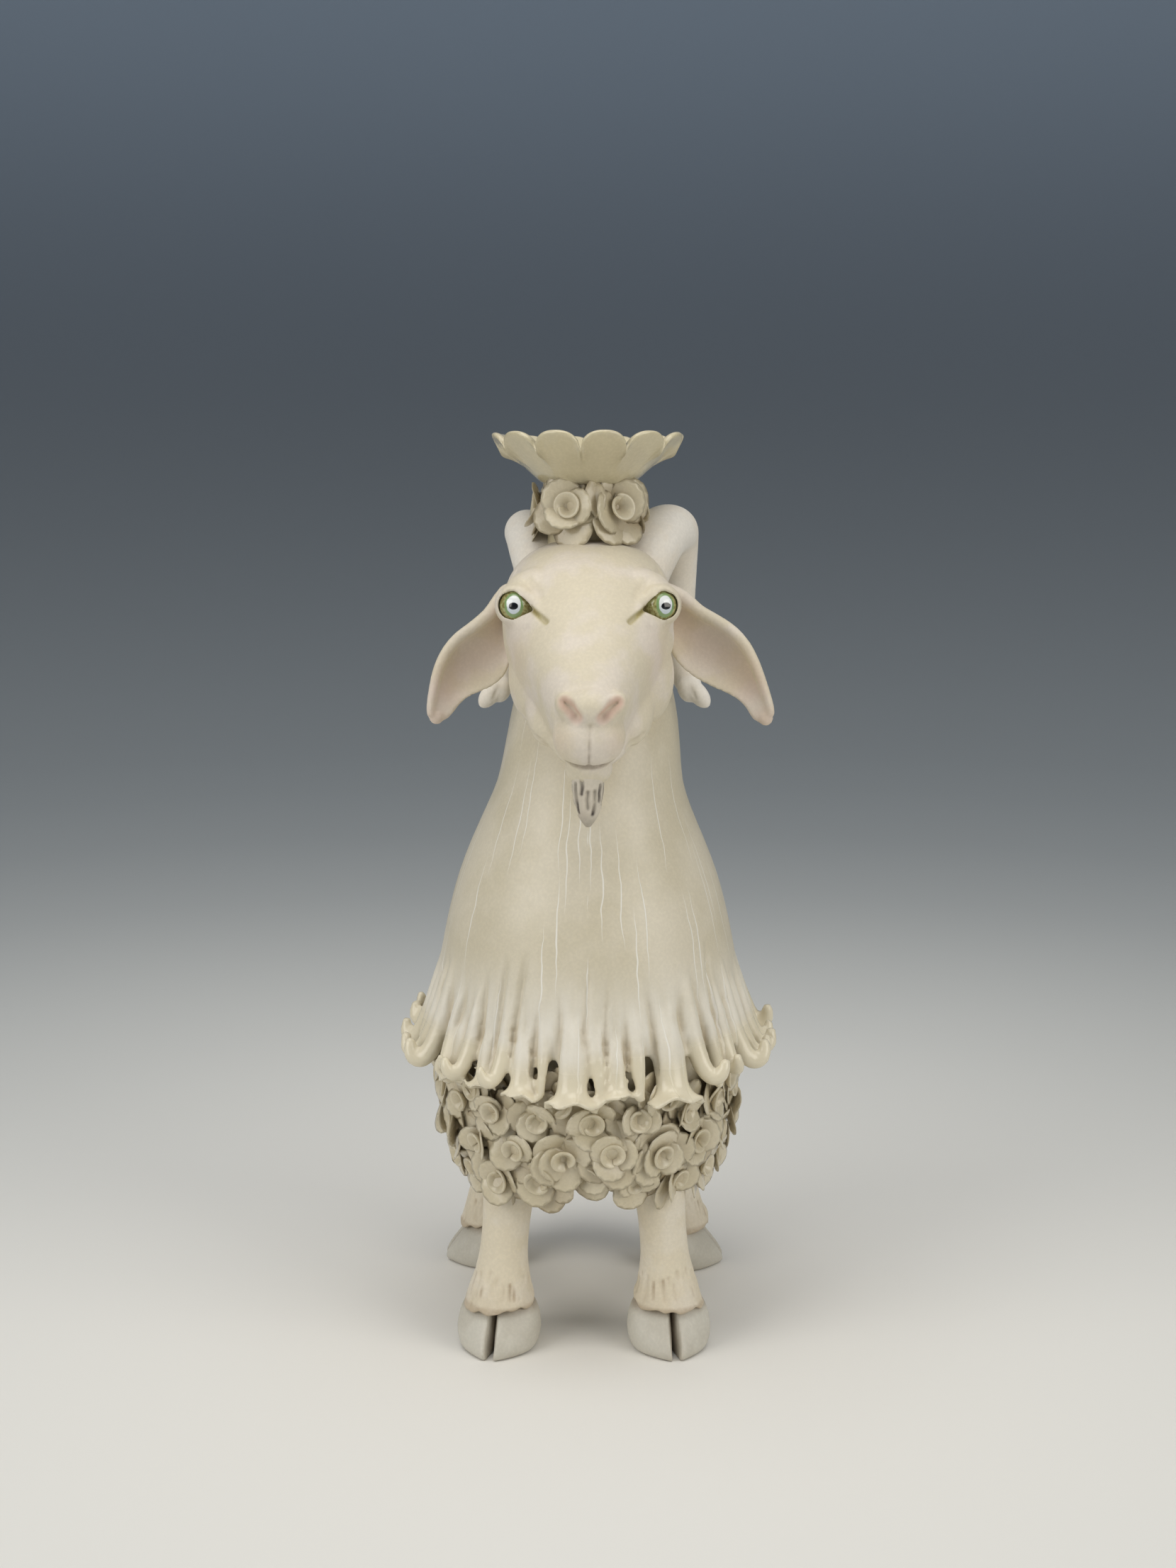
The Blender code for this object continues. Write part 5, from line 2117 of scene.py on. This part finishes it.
@dataclass
class Studio:
    """A pale sweep of paper, soft lamps and the camera."""

    camera_y: float = -773.0
    camera_z: float = 325.0
    pitch: float = 9.11
    lens: float = 48.82
    floor_radius: float = 1000.0
    sweep_radius: float = 1900.0
    wall_height: float = 2600.0
    lamps: Sequence[tuple[str, Row, float, float, Colour]] = (  # name, place, size, watts, tint
        ("overhead", (-80, -260, 1150), 800, 4.2, (1.0, 0.965, 0.90)),
        ("front_left", (-900, -640, 560), 800, 5.9, (1.0, 0.97, 0.92)),
        ("front_right", (900, -640, 560), 800, 5.9, (1.0, 0.96, 0.89)),
    )

    def sweep(self) -> None:
        """The floor, which curves up all round into a wall."""
        rows = [(0.0, 1.0), (0.0, 300.0), (0.0, self.floor_radius)]
        for step in range(1, 17):
            angle = step / 16 * math.pi / 2
            reach = self.floor_radius + self.sweep_radius * math.sin(angle)
            rows.append((self.sweep_radius * (1 - math.cos(angle)), reach))
        rows.append((self.wall_height, self.floor_radius + self.sweep_radius))
        bm = loft([level_ring(z, r, r, r, 0).point for z, r in rows], 96, "floor")
        bm.faces.ensure_lookup_table()
        if bm.faces[0].normal.z < 0:
            bmesh.ops.reverse_faces(bm, faces=bm.faces)
        mesh = mesh_in_metres(bm, "sweep")
        mesh.shade_smooth()
        floor = new_object("paper_sweep", mesh)
        mesh.materials.append(self.paper())

    def paper(self) -> bpy.types.Material:
        """Paper whose colour ramps from pale round the figure to slate away from it and up the wall:
        a painted pool of light, with painted shade beyond it.
        """
        made, graph, shader = new_material("sweep paper")
        parts = graph.node("ShaderNodeSeparateXYZ")
        graph.join(graph.place(), parts.inputs[0])
        level = graph.node("ShaderNodeCombineXYZ")
        graph.join(parts.outputs[0], level.inputs[0])
        graph.join(parts.outputs[1], level.inputs[1])
        length = graph.node("ShaderNodeVectorMath", operation="LENGTH")
        graph.join(level.outputs[0], length.inputs[0])
        way = graph.math("ADD", length.outputs["Value"], parts.outputs[2])
        ramp = graph.node("ShaderNodeValToRGB")
        ramp.color_ramp.interpolation = "B_SPLINE"
        graph.join(graph.math("DIVIDE", way, 4.0), ramp.inputs[0])
        # Painted light: pale stops for the painted pool of light near the figure, darker stops for
        # painted shade up the wall, lighter again at the top.
        stops = (
            (0.03, (0.83, 0.81, 0.765)),
            (0.10, (0.70, 0.70, 0.67)),
            (0.19, (0.47, 0.485, 0.48)),
            (0.33, (0.35, 0.375, 0.385)),
            (0.60, (0.15, 0.17, 0.19)),
            (0.78, (0.20, 0.235, 0.275)),
            (0.95, (0.34, 0.41, 0.49)),
        )
        while len(ramp.color_ramp.elements) < len(stops):
            ramp.color_ramp.elements.new(0.5)
        for element, (place, colour) in zip(ramp.color_ramp.elements, stops):
            element.position = place
            element.color = (*colour, 1)
        graph.join(ramp.outputs[0], shader.inputs["Base Color"])
        shader.inputs["Roughness"].default_value = 0.85
        shader.inputs["Specular IOR Level"].default_value = 0.15
        return made

    def lamp(self, name: str, place: Row, size: float, power: float, colour: Colour) -> None:
        """A square lamp that points at the figure's chest.

        Args:
            name: Its name.
            place: Where it hangs.
            size: The length of its side.
            power: Its power in watts.
            colour: The colour of its light.
        """
        data = bpy.data.lights.new(name, "AREA")
        data.size = size * MM
        data.energy = power
        data.color = colour
        obj = new_object(name, data)
        obj.location = Vector(place) * MM
        aim = Vector((0, 0, 170)) - Vector(place)
        obj.rotation_euler = aim.to_track_quat("-Z", "Y").to_euler()

    def build(self) -> None:
        """Sets up the sweep, the lamps, the sky and the camera."""
        self.sweep()
        for settings in self.lamps:
            self.lamp(*settings)
        world = bpy.data.worlds.new("studio")
        bpy.context.scene.world = world
        world.use_nodes = True
        sky = world.node_tree.nodes["Background"]
        sky.inputs["Color"].default_value = (0.93, 0.96, 1.0, 1)
        sky.inputs["Strength"].default_value = 0.52
        data = bpy.data.cameras.new("view")
        data.lens = self.lens
        data.sensor_width = 36
        data.clip_start = 0.02
        camera = new_object("view", data)
        camera.location = Vector((0, self.camera_y, self.camera_z)) * MM
        camera.rotation_euler = (math.radians(90 - self.pitch), 0, 0)
        bpy.context.scene.camera = camera
        bpy.context.scene.view_settings.view_transform = "Standard"


def main() -> None:
    """Builds the studio and the figure."""
    logging.basicConfig(level=logging.INFO, format="%(message)s", force=True)
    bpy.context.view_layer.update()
    Studio().build()
    head = Head()
    head.build()
    head.build_eyes()
    Ears().build()
    Horns().build()
    Beard().build()
    Mantle().build()
    body = Body()
    body.build()
    Roses(body).build()
    CandleDish().build()
    Legs().build()
    Tail().build()


if __name__ == "__main__":
    main()
